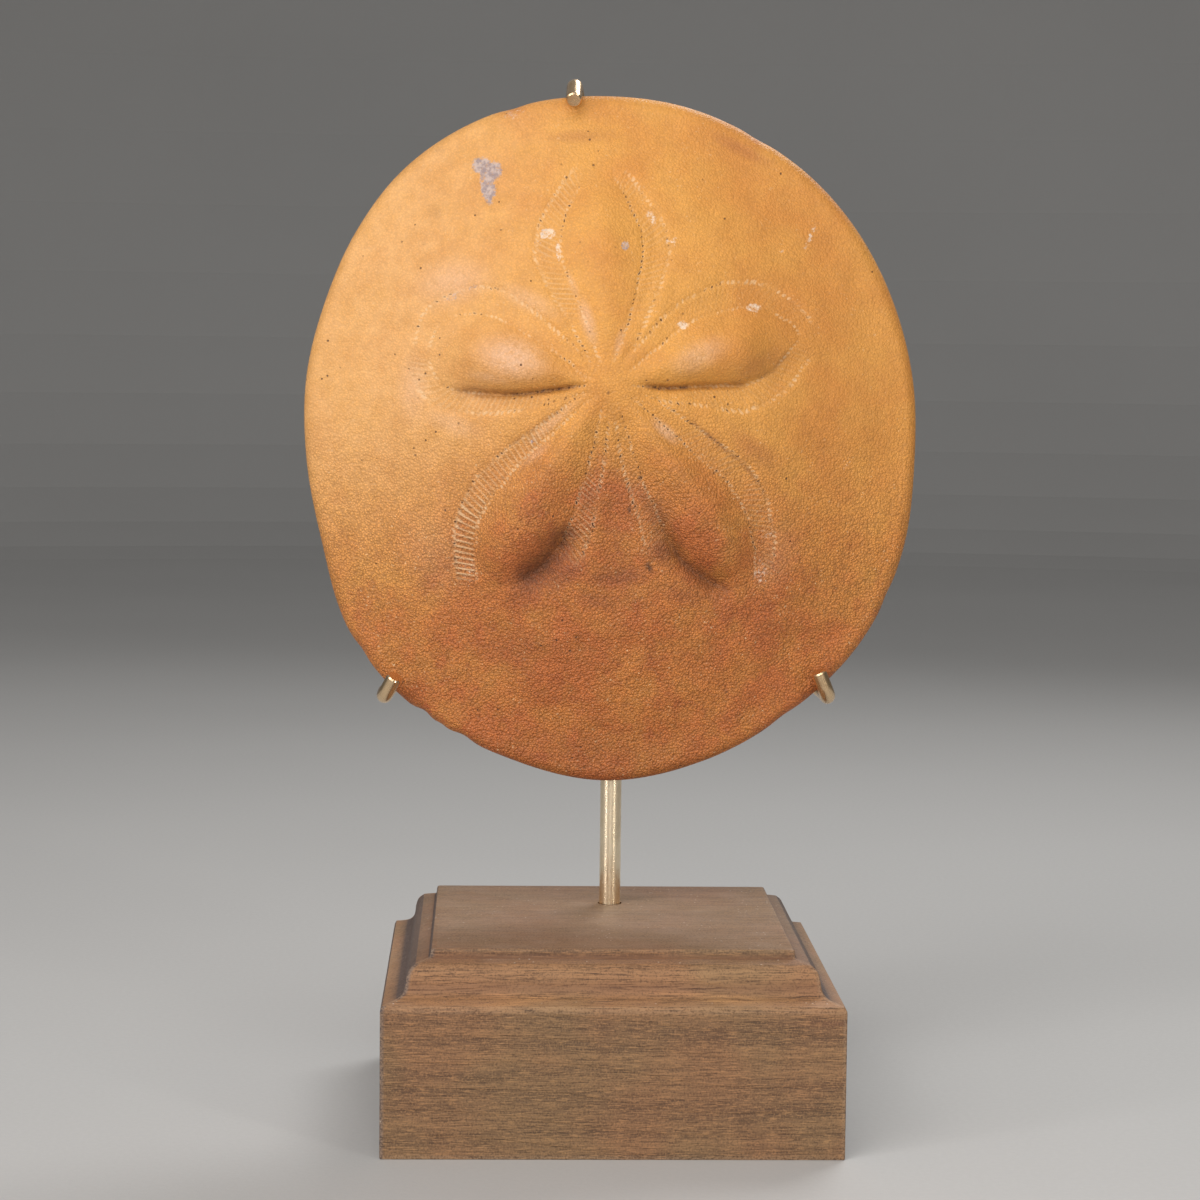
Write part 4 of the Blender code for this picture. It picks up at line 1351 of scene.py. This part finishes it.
def outside_rim(compass, clearance):
    """The place across and up where a rod passes just outside the fossil's rim."""
    step = 0.5
    places = []
    for angle in (compass - step, compass, compass + step):
        sine, cosine = compass_vector(angle)
        radius = float(rim_radius(np.array(angle))) * MM
        places.append(Vector((APEX_X + radius * sine, 0, APEX_Z + radius * cosine)))
    along = (places[2] - places[0]).normalized()
    outward = Vector((-along.z, 0, along.x))
    if outward.dot(places[1] - Vector((APEX_X, 0, APEX_Z))) < 0:
        outward = -outward
    return places[1] + outward * clearance


def arm_place(arm):
    """Where the arm runs along the front of the stem, from above."""
    radii = STEM_RADIUS + ARM_RADIUS + GAP
    aside = arm.side * ARM_SPREAD
    return Vector((STEM_X + aside, STEM_Y - math.sqrt(radii**2 - aside**2)))


def build_arm(arm, material):
    """From the stem's front, behind the fossil to its rim, past that, and round in front of it."""
    x, behind = arm_place(arm)
    rim = outside_rim(arm.compass, ARM_RADIUS + GAP)
    corners = [Vector((x, behind, level * MM)) for level in arm.levels]
    corners.append(Vector((rim.x, behind, rim.z)))
    corners.append(Vector((rim.x, RIM_Y, rim.z)) + Vector(arm.reach) * MM)
    corners.append(corners[-1] + Vector(arm.tip) * MM)
    bends = [ELBOW_BEND, ARM_BEND, ARM_BEND]
    build_rod(arm.name, corners, bends, ARM_RADIUS, ARM_END_BEVEL, material, arm.replaces)


def build_brazing(material):
    """The filler metal in the grooves between the stem and the three arms."""
    verts, faces, places = [], [], []
    stem = Vector((STEM_X, STEM_Y))
    for seed, arm in enumerate(ARMS, start=21):
        bottom, top = (height * MM for height in arm.brazed)
        toward = (arm_place(arm) - stem).normalized()
        across = Vector((-toward.y, toward.x))
        middle = stem + toward * (STEM_RADIUS + GAP / 2)
        base = len(verts)
        for level in range(BRAZING_LEVELS + 1):
            share = level / BRAZING_LEVELS
            z = bottom + (top - bottom) * share
            swell = math.sin(math.pi * min(max(share, 0.02), 0.98)) ** BRAZING_BLUNT
            lump = 1 + BRAZING_LUMPS * noise.noise(Vector((seed, z / BRAZING_LUMP_SIZE, 0)))
            half_across = BRAZING_HALF_ACROSS * swell * lump
            half_deep = BRAZING_HALF_DEEP * swell * lump
            for cosine, sine in circle(BRAZING_SIDES):
                pinch = 1 - BRAZING_PINCH * (1 - abs(cosine))
                offset = across * cosine * half_across + toward * sine * half_deep * pinch
                verts.append((*(middle + offset), z))
                places.append((*offset, z))
        for face in tube_faces(BRAZING_LEVELS + 1, BRAZING_SIDES):
            faces.append([base + corner for corner in face[::-1]])
    fields = {"rod_place": places}
    new_object("brazed_joints", verts, faces, material, None, fields)


# Camera, light and floor
def build_camera():
    yaw, pitch, roll = (math.radians(a) for a in (CAMERA_YAW, CAMERA_PITCH, CAMERA_ROLL))
    ahead = Vector(
        (math.sin(yaw) * math.cos(pitch), math.cos(yaw) * math.cos(pitch), -math.sin(pitch))
    )
    level = Vector((math.cos(yaw), -math.sin(yaw), 0))
    upright = level.cross(ahead)
    right = level * math.cos(roll) + upright * math.sin(roll)
    above = upright * math.cos(roll) - level * math.sin(roll)
    data = bpy.data.cameras.new("camera")
    data.lens = CAMERA_LENS
    data.sensor_width = CAMERA_SENSOR
    camera = placed("camera", data)
    turn = Matrix((right, above, -ahead)).transposed().to_4x4()
    camera.matrix_world = Matrix.Translation(CAMERA_PLACE) @ turn
    bpy.context.scene.camera = camera


def build_light(name, azimuth, elevation, distance, size, power, colour):
    """A soft area light seen from the object at that azimuth (0 in front, 90 to the right)."""
    data = bpy.data.lights.new(name, "AREA")
    data.shape = "RECTANGLE"
    data.size, data.size_y = size
    data.energy = power
    data.color = colour
    data.spread = math.radians(LIGHT_SPREAD)
    light = placed(name, data)
    a, e = math.radians(azimuth), math.radians(elevation)
    out = Vector((math.sin(a) * math.cos(e), -math.cos(a) * math.cos(e), math.sin(e)))
    light.location = Vector(LIGHT_AIM) + out * distance
    light.rotation_mode = "QUATERNION"
    light.rotation_quaternion = out.to_track_quat("Z", "Y")
    light.visible_camera = False


def build_studio():
    """A floor that curves up into a round pale wall, soft lights and a little ambient light."""
    profile = [(reach, 0.0) for reach in FLOOR_REACHES]
    for cosine, sine in circle(4 * FLOOR_BEND_STEPS)[1 : FLOOR_BEND_STEPS + 1]:
        profile.append((FLOOR_REACHES[-1] + FLOOR_BEND * sine, FLOOR_BEND * (1 - cosine)))
    profile.append(FLOOR_TOP)
    verts = []
    for reach, height in profile:
        verts += [(reach * cosine, reach * sine, height) for cosine, sine in circle(FLOOR_SIDES)]
    mesh = bpy.data.meshes.new("studio_floor")
    mesh.from_pydata(verts, [], tube_faces(len(profile), FLOOR_SIDES)[:-1])
    mesh.materials.append(floor_material())
    placed("studio_floor", mesh)
    for light in LIGHTS:
        build_light(*light)
    world = bpy.data.worlds.new("studio")
    world.use_nodes = True
    world.node_tree.nodes["Background"].inputs["Color"].default_value = AMBIENT
    world.node_tree.nodes["Background"].inputs["Strength"].default_value = AMBIENT_STRENGTH
    bpy.context.scene.world = world
    bpy.context.scene.view_settings.view_transform = "Standard"


def main():
    stone = stone_material()
    wood = wood_material()
    brass = brass_material("satin_brass", BRASS, 0.2)
    worn_brass = brass_material("worn_brass", BROWN_BRASS, 0.45)
    solder = brass_material("brazing_metal", SOLDER, 0.6)
    build_fossil(stone)
    build_block(wood)
    foot = Vector((STEM_X, STEM_Y, (BASE_HEIGHT - HOLE_DEPTH) * MM + GAP))
    head = Vector((STEM_X, STEM_Y, STEM_TOP))
    build_rod("stem_rod", [foot, head], [], STEM_RADIUS, STEM_END_BEVEL, brass, "brass_stem")
    for arm in ARMS:
        build_arm(arm, worn_brass)
    build_brazing(solder)
    build_camera()
    build_studio()


main()
